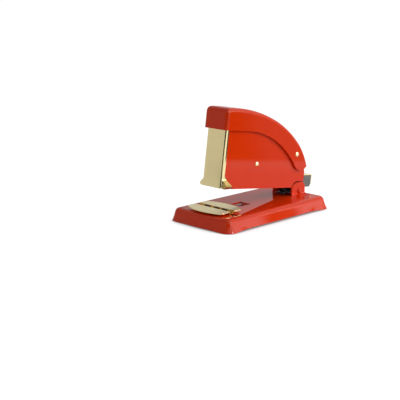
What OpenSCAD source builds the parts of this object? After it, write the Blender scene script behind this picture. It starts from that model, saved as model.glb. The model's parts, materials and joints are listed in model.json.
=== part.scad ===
// Desk stapler: pressed steel base, sliding anvil, and a tall head of two side plates under a
// curved handle cover. Lengths are in millimetres. X runs from the nose (-) to the tail (+), Y across,
// Z up from the table. The head's parts are drawn level, as if it lay parallel to the base, and are
// then tilted up about the hinge pin to where the hinge spring holds them.

/* [Base] */
// Length of the base along its bottom edge
base_l = 99.5; // [94:0.5:104]
// Width of the base along its bottom edge
base_w = 53; // [50:0.5:58]
// Height of the base's top face above the table
base_h = 8.7; // [8.4:0.1:9.3]
// Thickness of the base's steel sheet
base_t = 1.2; // [1:0.1:1.3]
// Outer radius of the rolled shoulder between top face and skirt
shoulder_r = 2.6; // [2.2:0.1:2.8]
// Slope of the skirt from upright, in degrees
skirt_slope = 13.5; // [9:0.5:15]
// Radius of the base's corners, seen from above
corner_r = 6; // [5.5:0.5:7]
// Rise of the skirt's edge between the corner feet
skirt_arch = 0.8; // [0.4:0.1:1.2]
// Outward flare of the skirt at each corner foot
foot_flare = 1; // [0:0.1:1.2]
// Bow of the front edge
front_bow = 2; // [0:0.1:2.5]
// Gap between the skirt's corners and the table, set by the rubber feet
rim_gap = 0.25; // [0.2:0.05:0.4]

/* [Hinge] */
// Distance of the hinge pin behind the middle of the base
hinge_x = 38.7; // [38:0.1:39.4]
// Height of the hinge pin above the table
hinge_z = 10.9; // [10.8:0.1:11]
// Radius of the hinge pin and of the two rivets
pin_r = 1.2; // [1:0.1:1.3]
// Tilt of the open head, in degrees
head_tilt = 8; // [7:0.5:8.5]
// Tilt of the pressed head below level, in degrees
head_end = 1; // [0.5:0.1:1]

/* [Head] */
// Width over the two side plates
head_w = 16.7; // [16.6:0.05:16.8]
// Thickness of the side plates and the handle cover
sheet_t = 1; // [0.9:0.05:1]
// Height of the side plates' lower edge when level
head_z = 13.35; // [13.3:0.05:13.4]
// Front edge of the side plates
head_front = -37.4; // [-37.6:0.1:-37.3]
// Rear edge of the side plates
head_rear = 42.5; // [42.2:0.1:42.8]
// Outer face of the brass front cover
cover_front = -40.5; // [-40.6:0.1:-40.3]
// Width of the front cover
cover_w = 15.5; // [15.3:0.1:15.7]

/* [Handle] */
// Width of the handle cover
handle_w = 19.9; // [19.8:0.1:20.2]
// Radius of the handle cover's long edges
handle_edge_r = 2.7; // [2:0.1:3]

/* [Staples] */
// Width of a staple over its crown
staple_w = 12.8; // [12.6:0.1:12.9]
// Height of a staple
staple_h = 6.4; // [6:0.1:6.4]
// Thickness of the staple wire
wire_t = 0.5; // [0.4:0.05:0.5]
// Length of the staple strip
strip_l = 26; // [5:1:26]

/* [Anvil] */
// Width of the anvil across the base
anvil_w = 31; // [30:0.5:32]
// Length of the anvil along the base
anvil_l = 24.4; // [23:0.2:25]
// Height of the anvil's top above the base
anvil_rise = 2.2; // [2.1:0.05:2.3]
// Sideways travel of the anvil between its two settings
anvil_travel = 3.5; // [3:0.5:3.5]

/* [Hidden] */

$fn = 48;
eps = 0.01;
fit = 0.05;
red = "orangered";
brass = "darkkhaki";
steel = "lightsteelblue";
dark_steel = "slategray";

// Base
foot_x = 42.4;
foot_y = 15;
foot_l = 5.6;
foot_w = 13;
foot_r = 2.2;
ramp_l = 12;
shoulder_tangent_z = base_h - shoulder_r + shoulder_r * sin(skirt_slope);
shoulder_inset = shoulder_r * cos(skirt_slope) + (shoulder_tangent_z - rim_gap) * tan(skirt_slope);
under_z = base_h - base_t;
window = [-16, -6];
window_w = 9.4;
tongue_w = 5;
tongue_drop = 2.2;

// Ears of the base, which carry the hinge pin
ear_x = [31, 44.9];
ear_top = 17.1;
ear_y = 7.5;
ear_t = 1.15;
ear_front_r = 5;
ear_rear_r = 4;
ear_gap = 0.5;
ear_foot_r = 0.9;

// Anvil
anvil_x = -35.8;
anvil_t = 0.9;
anvil_top = base_h + anvil_rise;
anvil_bow = 3.2;
anvil_corner_r = 1.6;
trough_w = 3.4;
tab_w = 3.6;
keeper_t = 0.8;
keeper_l = 6;
keeper_top = under_z - 0.7;
leaf_t = 0.45;

// Head
side_in = head_w / 2 - sheet_t;
front_corner_z = 22.1;
chamfer_end_x = -29.6;
channel_t = 0.7;
channel_floor = head_z + 0.3;
channel_front = anvil_x + 0.5;
channel_in = side_in - channel_t;
channel_top = 22.6;
lug_r = 3;
rail_top = channel_floor + 0.8 + staple_h - wire_t - 0.2;
rail_w = staple_w - 2 * wire_t - 0.4;
staple_z = channel_floor + channel_t + 0.1;
blade_t = 0.6;
blade_w = 11.8;
blade_z = [staple_z + staple_h + 0.3, 45];
frame_rivet_at = [-7.6, 29.5];
pivot_at = [30.7, 36.4];
dome_r = 1.7;
dome_h = 0.8;

// Handle cover: three arcs for its back, each tangent to the next, and an arc and a lobe for its lower edge
back_1_c = [-31.4, -50.05];
back_1_r = 115.2;
back_1_end = 71.1;
back_2_r = 83.8;
back_2_c = back_1_c + (back_1_r - back_2_r) * [cos(back_1_end), sin(back_1_end)];
back_2_end = 51.4;
back_3_r = 44.5;
back_3_c = back_2_c + (back_2_r - back_3_r) * [cos(back_2_end), sin(back_2_end)];
back_3_end = 22;
handle_front = -42.4;
nose_r = 3.4;
nose_c = [
    handle_front + nose_r,
    back_1_c.y + sqrt(pow(back_1_r - nose_r, 2) - pow(handle_front + nose_r - back_1_c.x, 2))
];
nose_turn = atan2(nose_c.y - back_1_c.y, nose_c.x - back_1_c.x);
edge_c = [-19.65, -14.7];
edge_r = 65.6;
edge_join = 40.6;
lobe_r = 7.7;
lobe_c = edge_c + (edge_r + lobe_r) * [cos(edge_join), sin(edge_join)];
plate_overlap = 2.3;

// Pusher and pull tab
rod_z = 17.4;
rod_r = 1;
rod_front = -32.5;
pusher_x = anvil_x + 0.6 + strip_l + 0.1;
pusher_l = 12;
tab_x = [43.2, 54.2];
tab_z = [13.2, 21.2];
tab_w_y = 11;
trim_t = 0.8;

// The row's origin stands below the middle of the whole length at rest
tail_x = hinge_x + (tab_x[1] + trim_t - hinge_x) * cos(head_tilt)
    + (tab_z[1] + trim_t - hinge_z) * sin(head_tilt);
mid_x = (tail_x - base_l / 2 - front_bow) / 2;

// ---- places ----

// Puts a base part in the row's frame
module on_base() {
    translate([-mid_x, 0, 0]) children();
}

// Tilts a part of the level head about the hinge pin
module on_head() {
    on_base()
        translate([hinge_x, 0, hinge_z])
            rotate([0, head_tilt, 0])
                translate([-hinge_x, 0, -hinge_z]) children();
}

// ---- helpers ----

// Extrudes an X-Z outline from y0 to y1
module across(y0, y1) {
    translate([0, y1, 0]) rotate([90, 0, 0]) linear_extrude(y1 - y0) children();
}

// Round bar along Y through the X-Z point p
module bar(p, r, y0, y1) {
    translate([p.x, y1, p.y]) rotate([90, 0, 0]) cylinder(r = r, h = y1 - y0);
}

// Points of an arc from angle a0 to a1
function arc(c, r, a0, a1, n) = [
    for (k = [0:n]) let (a = a0 + (a1 - a0) * k / n) [c.x + r * cos(a), c.y + r * sin(a)]
];

// Points of a rectangle with rounded corners
function round_box(x0, x1, y0, y1, r, n) = concat(
    arc([x1 - r, y1 - r], r, 0, 90, n),
    arc([x0 + r, y1 - r], r, 90, 180, n),
    arc([x0 + r, y0 + r], r, 180, 270, n),
    arc([x1 - r, y0 + r], r, 270, 360, n)
);

function unit(v) = v / norm(v);

// Moves an anticlockwise outline inwards by d
function inset(pts, d) = let (n = len(pts)) [
    for (i = [0:n - 1])
        let (
            e1 = unit(pts[i] - pts[(i + n - 1) % n]),
            e2 = unit(pts[(i + 1) % n] - pts[i]),
            n1 = [-e1.y, e1.x],
            n2 = [-e2.y, e2.x]
        )
        pts[i] + d * (n1 + n2) / (1 + n1 * n2)
];

// Side faces between rings of points, two triangles to each quad
function ring_faces(rings, count) = [
    for (k = [0:rings - 2]) for (i = [0:count - 1])
        let (a = k * count + i, b = k * count + (i + 1) % count)
        for (f = [[a, a + count, b], [b, a + count, b + count]]) f
];

// Solid with a level X-Z outline, half width hw and edges rounded by r
module rounded_slab(pts, hw, r, n = 5) {
    count = len(pts);
    profile = concat(
        [for (k = [0:n]) [-(hw - r + r * cos(90 * k / n)), r * (1 - sin(90 * k / n))]],
        [for (k = [n:-1:0]) [hw - r + r * cos(90 * k / n), r * (1 - sin(90 * k / n))]]
    );
    points = [for (p = profile) for (q = inset(pts, p[1])) [q.x, -p[0], q.y]];
    last = (len(profile) - 1) * count;
    polyhedron(points, concat(
        [[for (i = [0:count - 1]) i]],
        ring_faces(len(profile), count),
        [[for (i = [count - 1:-1:0]) last + i]]
    ));
}

// Coil of round wire along +Z
module coil(r, wire, turns, l, steps = 14, sides = 6) {
    n = ceil(turns * steps);
    points = [
        for (i = [0:n]) for (j = [0:sides - 1])
            let (a = 360 * turns * i / n, b = 360 * j / sides, c = r + wire * cos(b))
            [c * cos(a), c * sin(a), wire + (l - 2 * wire) * i / n + wire * sin(b)]
    ];
    polyhedron(points, concat(
        [[for (j = [sides - 1:-1:0]) j]],
        [for (f = ring_faces(n + 1, sides)) [f[0], f[2], f[1]]],
        [[for (j = [0:sides - 1]) n * sides + j]]
    ));
}

// Domed rivet head of radius r on a face at y, bulging towards side (+1 or -1)
module dome(p, y, side, r, h) {
    ball = (r * r + h * h) / (2 * h);
    translate([p.x, y, p.y]) rotate([-90 * side, 0, 0])
        rotate_extrude()
            intersection() {
                translate([0, h - ball]) circle(ball);
                square([r, h + 1]);
            }
}

// Rivet along Y with a dome on each outer face
module rivet(p, r, y, head_r, head_h) {
    bar(p, r, -y - eps, y + eps);
    for (side = [-1, 1]) dome(p, side * y, side, head_r, head_h);
}

module tube(p, r_out, r_in, y0, y1) {
    difference() {
        bar(p, r_out, y0, y1);
        bar(p, r_in, y0 - 1, y1 + 1);
    }
}

// ---- base ----

// 0 at a corner foot, 1 along the arched middle of a side
function arch_at(d) = let (t = min(1, d / ramp_l)) t * t * (3 - 2 * t);

// Outline of the base as [x, y, normal x, normal y, arch], anticlockwise from the tail's left
function plan(hl, hw, r) = [
    for (k = [0:3])
        let (
            c = [(k == 0 || k == 3 ? 1 : -1) * (hl - r), (k < 2 ? 1 : -1) * (hw - r)],
            s = k % 2 == 0 ? 2 * (hl - r) : 2 * (hw - r),
            u = [cos(90 * k + 180), sin(90 * k + 180)],
            v = [cos(90 * k + 90), sin(90 * k + 90)],
            steps = [for (q = [1:4]) ramp_l * q / 4],
            along = concat(steps, [for (q = [3:-1:0]) s - steps[q]])
        )
        for (e = concat(
            [for (j = [0:5])
                let (a = 90 * k + 18 * j)
                [c.x + r * cos(a), c.y + r * sin(a), cos(a), sin(a), 0]],
            [for (d = along)
                let (at = [c.x + r * v.x + d * u.x, c.y + r * v.y + d * u.y])
                [at.x, at.y, v.x, v.y, arch_at(min(d, s - d))]]
        )) e
];

// A point of the skirt or shoulder, with the corner flare, edge arch and front bow added
function pan_point(p, z, lift) =
    let (
        low = max(0, 1 - z / shoulder_tangent_z),
        push = foot_flare * (1 - p[4]) * low * low,
        bow = p[0] < 0 ? front_bow * (1 - pow(2 * p[1] / base_w, 2)) * pow(-2 * p[0] / base_l, 4) : 0
    )
    [p[0] + push * p[2] - bow, p[1] + push * p[3], z + lift * p[4] * low * (1 - 0.7 * abs(p[2]))];

// Solid bounded by the pan's outer face (t = 0) or inner face (t = sheet thickness)
module pan_solid(t, z0) {
    levels = concat(
        [for (k = [0:3]) let (z = z0 + (shoulder_tangent_z - z0) * k / 4)
            [(z - rim_gap) * tan(skirt_slope) + t / cos(skirt_slope), z]],
        [for (k = [0:5]) let (a = skirt_slope + (90 - skirt_slope) * k / 5)
            [shoulder_inset - (shoulder_r - t) * cos(a), base_h - shoulder_r + (shoulder_r - t) * sin(a)]]
    );
    lift = t == 0 ? skirt_arch : 0;
    rings = [
        for (e = levels) [
            for (p = plan(base_l / 2 - e[0], base_w / 2 - e[0], max(0.4, corner_r - e[0])))
                pan_point(p, e[1], lift)
        ]
    ];
    count = len(rings[0]);
    points = concat([for (r = rings) for (p = r) p], [[0, 0, z0 + lift], [0, 0, base_h - t]]);
    top = (len(levels) - 1) * count;
    mid = len(points) - 2;
    polyhedron(points, concat(
        [for (i = [0:count - 1]) [mid, i, (i + 1) % count]],
        ring_faces(len(levels), count),
        [for (i = [0:count - 1]) [mid + 1, top + (i + 1) % count, top + i]]
    ));
}

// Outline of an ear, grown by g
function ear_outline(g, low) = concat(
    [[ear_x[0] - g, low]],
    [[ear_x[1] + g, low]],
    arc([ear_x[1] - ear_rear_r, ear_top - ear_rear_r], ear_rear_r + g, 0, 90, 8),
    arc([ear_x[0] + ear_front_r, ear_top - ear_front_r], ear_front_r + g, 90, 180, 12)
);

module ear() {
    difference() {
        union() {
            across(ear_y, ear_y + ear_t) polygon(ear_outline(0, under_z));
            // Bend radius between the ear and the top face
            translate([ear_x[0], ear_y + ear_t, base_h]) rotate([90, 0, 90])
                linear_extrude(ear_x[1] - ear_x[0])
                    difference() {
                        translate([-eps, -eps]) square(ear_foot_r);
                        translate([ear_foot_r, ear_foot_r]) circle(ear_foot_r);
                    }
        }
        bar([hinge_x, hinge_z], pin_r + 0.02, ear_y - 1, ear_y + ear_t + 2);
    }
}

module base_pan() {
    color(red) on_base() {
        difference() {
            pan_solid(0, rim_gap);
            pan_solid(base_t, -1.5);
            // Window over the anvil's leaf spring
            translate([window[0], -window_w / 2, under_z - 1]) cube([window[1] - window[0], window_w, 4]);
            // Opening from which the ears are bent up
            translate([ear_x[0], -ear_y, under_z - 1]) cube([ear_x[1] - ear_x[0], 2 * ear_y, 4]);
            // Slots for the anvil's tabs, longer by its travel
            for (y = [-anvil_w / 2, anvil_w / 2])
                translate([anvil_x - tab_w / 2 - 0.3, y - anvil_travel - anvil_t - 0.3, under_z - 1])
                    cube([tab_w + 0.6, anvil_travel + 2 * anvil_t + 0.6, 4]);
        }
        for (side = [0, 1]) mirror([0, side, 0]) ear();
        // Tongue lanced from the window and stepped down to hold the leaf spring
        across(-tongue_w / 2, tongue_w / 2)
            polygon([
                [window[1] + 1, base_h], [window[1] - 0.6, base_h], [window[1] - 2.6, base_h - tongue_drop],
                [window[1] - 6, base_h - tongue_drop], [window[1] - 6, under_z - tongue_drop],
                [window[1] - 2, under_z - tongue_drop], [window[1] - 0.1, under_z - 0.4],
                [window[1] + 1, under_z - 0.4]
            ]);
    }
}

module rubber_feet() {
    color("dimgray") on_base()
        for (x = [-foot_x, foot_x], y = [-foot_y, foot_y])
            translate([x, y, 0])
                linear_extrude(under_z)
                    polygon(round_box(-foot_l / 2, foot_l / 2, -foot_w / 2, foot_w / 2, foot_r, 6));
}

// Leaf that rests on the window's tongue and presses the keeper down
module anvil_spring() {
    rear = window[1] - 2.9;
    front = anvil_x - 5;
    low = base_h - tongue_drop;
    high = under_z - leaf_t;
    n = 10;
    bottom = [
        for (k = [0:n])
            let (t = k / n)
            [rear + (front - rear) * t, low + (high - low) * min(1, t * 1.8)]
    ];
    color(steel) on_base()
        across(-3.6, 3.6)
            polygon(concat(bottom, [for (k = [n:-1:0]) bottom[k] + [0, leaf_t - eps]]));
}

module hinge_pin() {
    color(red) on_base() rivet([hinge_x, hinge_z], pin_r, ear_y + ear_t, dome_r, dome_h);
}

// Torsion spring round the pin: one leg lifts the channel, the other stands on the base
module hinge_spring() {
    wire = 0.4;
    r = 2.2;
    l = 4.4;
    color(dark_steel) on_base() {
        translate([hinge_x, l / 2, hinge_z]) rotate([90, 0, 0]) coil(r, wire, 5, l, 16);
        // Leg along the underside of the channel
        translate([hinge_x, -l / 2 + wire, hinge_z]) rotate([0, head_tilt, 0])
            translate([0, 0, r]) rotate([0, -90, 0]) cylinder(r = wire, h = 15, $fn = 16);
        // Leg to the base's top face
        translate([hinge_x, l / 2 - wire, hinge_z]) rotate([0, 4, 0])
            translate([0, 0, -r]) rotate([0, -90, 0]) cylinder(r = wire, h = 5.5, $fn = 16);
    }
}

// ---- anvil ----

// Outline with bowed front and rear edges and rounded ends
function anvil_outline() =
    let (
        hw = anvil_w / 2,
        hl = anvil_l / 2,
        bow_r = (hw * hw + anvil_bow * anvil_bow) / (2 * anvil_bow),
        swing = asin((hw - anvil_corner_r) / bow_r),
        r = anvil_corner_r,
        end_x = hl - bow_r + bow_r * cos(swing) - 0.2
    )
    concat(
        arc([hl - bow_r, 0], bow_r, -swing, swing, 12),
        arc([end_x - r, hw - r], r, 20, 90, 4),
        arc([-end_x + r, hw - r], r, 90, 160, 4),
        arc([-hl + bow_r, 0], bow_r, 180 - swing, 180 + swing, 12),
        arc([-end_x + r, -hw + r], r, 200, 270, 4),
        arc([end_x - r, -hw + r], r, 270, 340, 4)
    );

module anvil_plate() {
    hw = anvil_w / 2;
    top = anvil_top;
    low = base_h + 0.02;
    g = trough_w / 2;
    color(brass) on_base() translate([anvil_x, 0, 0]) {
        difference() {
            intersection() {
                translate([0, 0, low - 1]) linear_extrude(top - low + 2) polygon(anvil_outline());
                across(-hw, hw)
                    polygon([
                        [-20, top], [-g - 0.3, top], [-g, top - 0.3], [-g + 0.5, low + anvil_t],
                        [g - 0.5, low + anvil_t], [g, top - 0.3], [g + 0.3, top], [20, top],
                        [20, top - anvil_t], [g + anvil_t, top - anvil_t], [g + 0.3, low],
                        [-g - 0.3, low], [-g - anvil_t, top - anvil_t], [-20, top - anvil_t]
                    ]);
            }
            // Three crimping pockets along the trough
            for (y = [-7.5, -0.7, 7.5])
                intersection() {
                    translate([-g + 0.45, y, low + anvil_t + 8.2])
                        rotate([0, 90, 0]) cylinder(r = 8.7, h = trough_w - 0.9, $fn = 96);
                    translate([-g, y - 2.6, low]) cube([trough_w, 5.2, anvil_t + 1]);
                }
        }
        // Tabs bent down from the trough's ends through the base
        for (side = [-1, 1])
            translate([-tab_w / 2, side > 0 ? hw - 0.6 : -hw - anvil_t + 0.6, keeper_top - keeper_t - 0.4])
                cube([tab_w, anvil_t, low + anvil_t - keeper_top + keeper_t + 0.4]);
    }
}

module anvil_keeper() {
    hw = anvil_w / 2;
    color(steel) on_base() translate([anvil_x, 0, keeper_top - keeper_t])
        linear_extrude(keeper_t)
            difference() {
                polygon(round_box(-keeper_l / 2, keeper_l / 2, -hw - 2, hw + 2, 2, 5));
                for (side = [-1, 1])
                    translate([-tab_w / 2 - fit, side * hw + (side > 0 ? -0.6 : -anvil_t + 0.6) - fit])
                        square([tab_w + 2 * fit, anvil_t + 2 * fit]);
            }
}

// ---- head ----

// Room that the ears need as the head swings, in the head's own level frame
module ear_sweep(y0, y1) {
    span = head_tilt + head_end;
    for (k = [0:3])
        translate([hinge_x, 0, hinge_z]) rotate([0, -head_tilt + span * k / 3, 0])
            translate([-hinge_x, 0, -hinge_z]) across(y0, y1) polygon(ear_outline(ear_gap, 4));
}

function side_outline() = concat(
    [[head_front, edge_c.y + edge_r + plate_overlap], [head_front, front_corner_z]],
    [[chamfer_end_x, head_z], [head_rear, head_z], [head_rear, 24.6], [41, 27.4]],
    arc(back_3_c, back_3_r - 2.8, 27, 50, 10),
    arc(edge_c, edge_r + plate_overlap, 62.5, 90, 14)
);

module side_plate(y0) {
    difference() {
        across(y0, y0 + sheet_t) polygon(side_outline());
        ear_sweep(y0 - 1, y0 + sheet_t + 1);
        for (p = [frame_rivet_at, pivot_at]) bar(p, pin_r + 0.02, y0 - 1, y0 + sheet_t + 1);
    }
}

module left_side_plate() {
    color(red) on_head() mirror([0, 1, 0]) side_plate(side_in);
}

module right_side_plate() {
    color(red) on_head() side_plate(side_in);
}

// Flared wing at the foot of the front cover: outer face at depth t = 0, inner at t = 1
wing_t = 0.8;
wing_tip = 3.8;
wing_rear = 1.5;
wing_turn = 1.8;
wing_x = [cover_front + 0.3, -30.3];
wing_slope = 1.127;
wing_start = 20.2;
wing_fall = 4.8;

function wing_flare(x) =
    let (d = x - cover_front, run = wing_x[1] - cover_front - wing_turn)
    d < wing_turn
        ? wing_tip * sin(90 * d / wing_turn)
        : wing_rear + (wing_tip - wing_rear) * pow(max(0, 1 - (d - wing_turn) / run), 1.5);

function wing_drop(z) =
    let (t = max(0, min(1, (wing_start - z) / wing_fall)))
    t < 0.4 ? t * t / 0.64 : 0.25 + (t - 0.4) * 1.25;

function wing_top(x) = min(front_corner_z + 0.5, front_corner_z - 0.4 - (x - head_front) * wing_slope);

function wing_low(x) =
    let (u = (x - wing_x[0]) / (wing_x[1] - wing_x[0]))
    13.8 - 0.9 * sin(180 * max(0, min(1, (u - 0.1) / 0.95)));

// Inward turn of the wing's rounded lower corner, at height d above its edge, clear of the channel
function wing_tuck(x, d) =
    let (
        t = max(0, 1 - d / 2.3),
        most = x < channel_front - 0.5 ? 2.1 : min(2.1, wing_flare(x) - 0.6)
    )
    most * (1 - sqrt(1 - t * t));

module wing() {
    nx = 14;
    nz = 12;
    count = 2 * (nz + 1);
    points = [
        for (i = [0:nx])
            let (
                x = wing_x[0] + (wing_x[1] - wing_x[0]) * i / nx,
                lo = wing_low(x),
                hi = max(lo + 0.4, wing_top(x))
            )
            for (k = [0:count - 1])
                let (
                    inner = k > nz,
                    s = inner ? count - 1 - k : k,
                    z = lo + (hi - lo) * s / nz,
                    face_y = cover_w / 2 - 0.1 - (inner ? wing_t : 0)
                )
                [x, face_y + wing_flare(x) * wing_drop(z) - wing_tuck(x, z - lo), z]
    ];
    last = nx * count;
    polyhedron(points, concat(
        [for (k = [0:nz - 1]) for (f = [[k, k + 1, count - 1 - k], [k + 1, count - 2 - k, count - 1 - k]]) f],
        [for (f = ring_faces(nx + 1, count)) [f[0], f[1], f[2]]],
        [for (k = [0:nz - 1])
            for (f = [[last + k, last + count - 1 - k, last + k + 1],
                [last + k + 1, last + count - 1 - k, last + count - 2 - k]]) f]
    ));
}

// Brass cover: a channel folded round the head's nose, whose rear edges step in under the side plates
module front_cover() {
    hw = cover_w / 2;
    t = wing_t;
    r = 1.1;
    top = edge_c.y + edge_r + plate_overlap;
    color(brass) on_head() {
        // Face and folded sides
        translate([0, 0, front_corner_z - 0.5]) linear_extrude(top - front_corner_z + 0.5)
            difference() {
                union() {
                    translate([cover_front + r, -hw]) square([head_front - cover_front - r - 0.1, cover_w]);
                    translate([cover_front, -hw + r]) square([r + 1, cover_w - 2 * r]);
                    for (side = [-1, 1]) translate([cover_front + r, side * (hw - r)]) circle(r);
                }
                translate([cover_front + r, -hw + t]) square([10, cover_w - 2 * t]);
                translate([cover_front + t, -hw + r]) square([10, cover_w - 2 * r]);
                for (side = [-1, 1]) translate([cover_front + r, side * (hw - r)]) circle(r - t);
            }
        // Tongues that step in under the side plates
        for (side = [-1, 1])
            translate([0, side > 0 ? side_in - t : -side_in, channel_top + 0.6])
                difference() {
                    translate([head_front - 1.2, 0, 0]) cube([8.5, t, top - channel_top - 0.6]);
                    translate([head_front - 2, side > 0 ? -eps : -1, -1]) cube([0.1, 3, 60]);
                }
        // Face below the fold
        translate([cover_front, -hw + 0.4, 13.7]) cube([t, cover_w - 0.8, front_corner_z - 13.7]);
        for (side = [0, 1]) mirror([0, side, 0]) wing();
    }
}

// Plate behind the cover that guides the blade, slotted from the top for the hanger's finger
module driver_guide() {
    x0 = anvil_x - blade_t / 2 - 1;
    top = 49;
    fold_z = 24;
    color(steel) on_head()
        difference() {
            union() {
                translate([x0, -6.1, head_z + 0.4]) cube([0.8, 12.2, top - head_z - 0.4]);
                for (side = [-1, 1])
                    translate([cover_front + wing_t, side > 0 ? 5.3 : -6.1, fold_z])
                        cube([x0 - cover_front, 0.8, top - fold_z]);
            }
            translate([x0 - 1, -3.1, 29]) cube([3, 6.2, 30]);
        }
}

// Sleeve that turns on the hinge pin between the channel's lugs
module hinge_bush() {
    y = side_in - channel_t;
    color(steel) on_base() tube([hinge_x, hinge_z], 1.6, pin_r + fit, -y, y);
}

module magazine_channel() {
    hw = side_in;
    color(steel) on_head()
        difference() {
            union() {
                translate([channel_front, -hw, channel_floor])
                    cube([head_rear - channel_front, 2 * hw, channel_top - channel_floor]);
                // Lugs that carry the head on the hinge pin
                for (y = [-hw, hw - channel_t]) {
                    bar([hinge_x, hinge_z], lug_r, y, y + channel_t);
                    across(y, y + channel_t)
                        polygon([
                            [hinge_x - lug_r, hinge_z], [hinge_x + lug_r, hinge_z],
                            [hinge_x + lug_r, channel_floor + 1], [hinge_x - lug_r - 2, channel_floor + 1],
                            [hinge_x - lug_r - 2, channel_floor]
                        ]);
                }
            }
            translate([channel_front - 1, -channel_in, channel_floor + channel_t])
                cube([head_rear - channel_front + 2, 2 * channel_in, 20]);
            bar([hinge_x, hinge_z], pin_r + fit, -hw - 1, hw + 1);
            // Walls lowered at the nose to clear the cover's tongues
            translate([channel_front - 1, -hw - 1, channel_top - 0.6]) cube([9, 2 * hw + 2, 2]);
        }
}

// Inverted channel that carries the staples, slotted along its top for the pusher
module staple_rail() {
    hw = rail_w / 2;
    t = 0.7;
    floor_z = channel_floor + channel_t;
    color(steel) on_head()
        difference() {
            translate([channel_front, -hw, floor_z])
                cube([head_rear - 1 - channel_front, rail_w, rail_top - floor_z]);
            translate([channel_front - 1, -hw + t, floor_z - 1])
                cube([90, rail_w - 2 * t, rail_top - floor_z + 1 - t]);
            translate([channel_front + 6, -1.4, rail_top - 2]) cube([90, 2.8, 3]);
            // Walls stand clear of the floor along the staples
            translate([channel_front - 1, -hw - 1, floor_z - 1]) cube([66, rail_w + 2, 3]);
        }
}

module staple_strip() {
    color("silver") on_head()
        translate([anvil_x + 0.6, 0, staple_z])
            difference() {
                translate([0, -staple_w / 2, 0]) cube([strip_l, staple_w, staple_h]);
                translate([-1, -staple_w / 2 + wire_t, -1])
                    cube([strip_l + 2, staple_w - 2 * wire_t, staple_h + 1 - wire_t]);
            }
}

module frame_rivet() {
    color(brass) on_head() rivet(frame_rivet_at, pin_r, head_w / 2, dome_r, dome_h);
}

module frame_spacer() {
    color(steel) on_head() tube(frame_rivet_at, 2.4, pin_r + fit, -side_in + 0.8, side_in - 0.8);
}

module pivot_rivet() {
    color(brass) on_head() rivet(pivot_at, pin_r, handle_w / 2, dome_r, dome_h);
}

module pivot_spacer() {
    color(steel) on_head() tube(pivot_at, 2.4, pin_r + fit, -side_in, side_in);
}

// Bridge on the frame rivet that carries the handle's return spring
module spring_seat() {
    p = frame_rivet_at;
    hw = side_in;
    color(steel) on_head()
        difference() {
            union() {
                translate([p.x - 6, -hw, p.y + 3.2]) cube([12, 2 * hw, 0.8]);
                for (y = [-hw, hw - 0.8]) {
                    bar(p, 3.4, y, y + 0.8);
                    across(y, y + 0.8)
                        polygon([[p.x - 6, p.y + 4], [p.x + 6, p.y + 4], [p.x + 3.4, p.y], [p.x - 3.4, p.y]]);
                }
                // Spigot that centres the spring
                translate([p.x, 0, p.y + 3.5]) cylinder(r = 2.6, h = 3);
            }
            bar(p, pin_r + 0.02, -hw - 1, hw + 1);
        }
}

spring_top = 57;

module handle_spring() {
    base = frame_rivet_at.y + 4;
    color(dark_steel) on_head()
        translate([frame_rivet_at.x, 0, base + eps]) coil(3.7, 0.5, 8, spring_top - base - 2 * eps);
}

// ---- handle ----

function handle_outline() = concat(
    [[44.5, 15]],
    arc(back_3_c, back_3_r, back_3_end, back_2_end, 10),
    arc(back_2_c, back_2_r, back_2_end + 2.5, back_1_end, 8),
    arc(back_1_c, back_1_r, back_1_end + 2, nose_turn, 10),
    arc(nose_c, nose_r, nose_turn + 14, 180, 6),
    [[handle_front, 43], [-20, 41], [20, 20]]
);

function handle_edge() = concat(
    [[-60, edge_c.y + edge_r]],
    arc(edge_c, edge_r, 90, edge_join, 24),
    arc(lobe_c, lobe_r, 180 + edge_join + 6, 322, 14),
    [[56, 30], [56, -10], [-60, -10]]
);

module handle_cover() {
    hw = handle_w / 2;
    color(red) on_head()
        difference() {
            rounded_slab(handle_outline(), hw, handle_edge_r);
            rounded_slab(inset(handle_outline(), sheet_t), hw - sheet_t, handle_edge_r - sheet_t);
            across(-hw - 1, hw + 1) polygon(handle_edge());
            bar(pivot_at, pin_r + fit, -hw - 1, hw + 1);
        }
}

// Keeps a part below the inner face of the handle cover's back
module under_back(g) {
    intersection() {
        children();
        bar(back_1_c, back_1_r - sheet_t - g, -20, 20, $fn = 180);
    }
}

// Bracket welded under the cover, whose finger works the driver blade
module driver_hanger() {
    x0 = anvil_x + 1.9;
    z0 = pivot_at.y + 3.6;
    color(steel) on_head()
        under_back(0.02) {
            union() {
                translate([x0, -4.5, z0]) cube([1.2, 9, 40]);
                translate([x0, -4.5, 61.5]) cube([12, 9, 8]);
                translate([anvil_x - 1.6, -2.5, z0]) cube([3.8, 5, 1.6]);
            }
        }
}

module spring_cup() {
    p = frame_rivet_at;
    color(steel) on_head()
        under_back(0.02)
            difference() {
                translate([p.x, 0, spring_top - 3]) cylinder(r = 5.2, h = 20);
                translate([p.x, 0, spring_top - 4]) cylinder(r = 4.4, h = 4);
            }
}

// ---- driver ----

module driver_blade() {
    finger = pivot_at.y + 3.6;
    color(steel) on_head()
        difference() {
            translate([anvil_x - blade_t / 2, -blade_w / 2, blade_z[0]])
                cube([blade_t, blade_w, blade_z[1] - blade_z[0]]);
            // Window for the hanger's finger
            translate([anvil_x - 1, -2.9, finger - 0.4]) cube([2, 5.8, 2.4]);
        }
}

// ---- magazine ----

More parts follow.
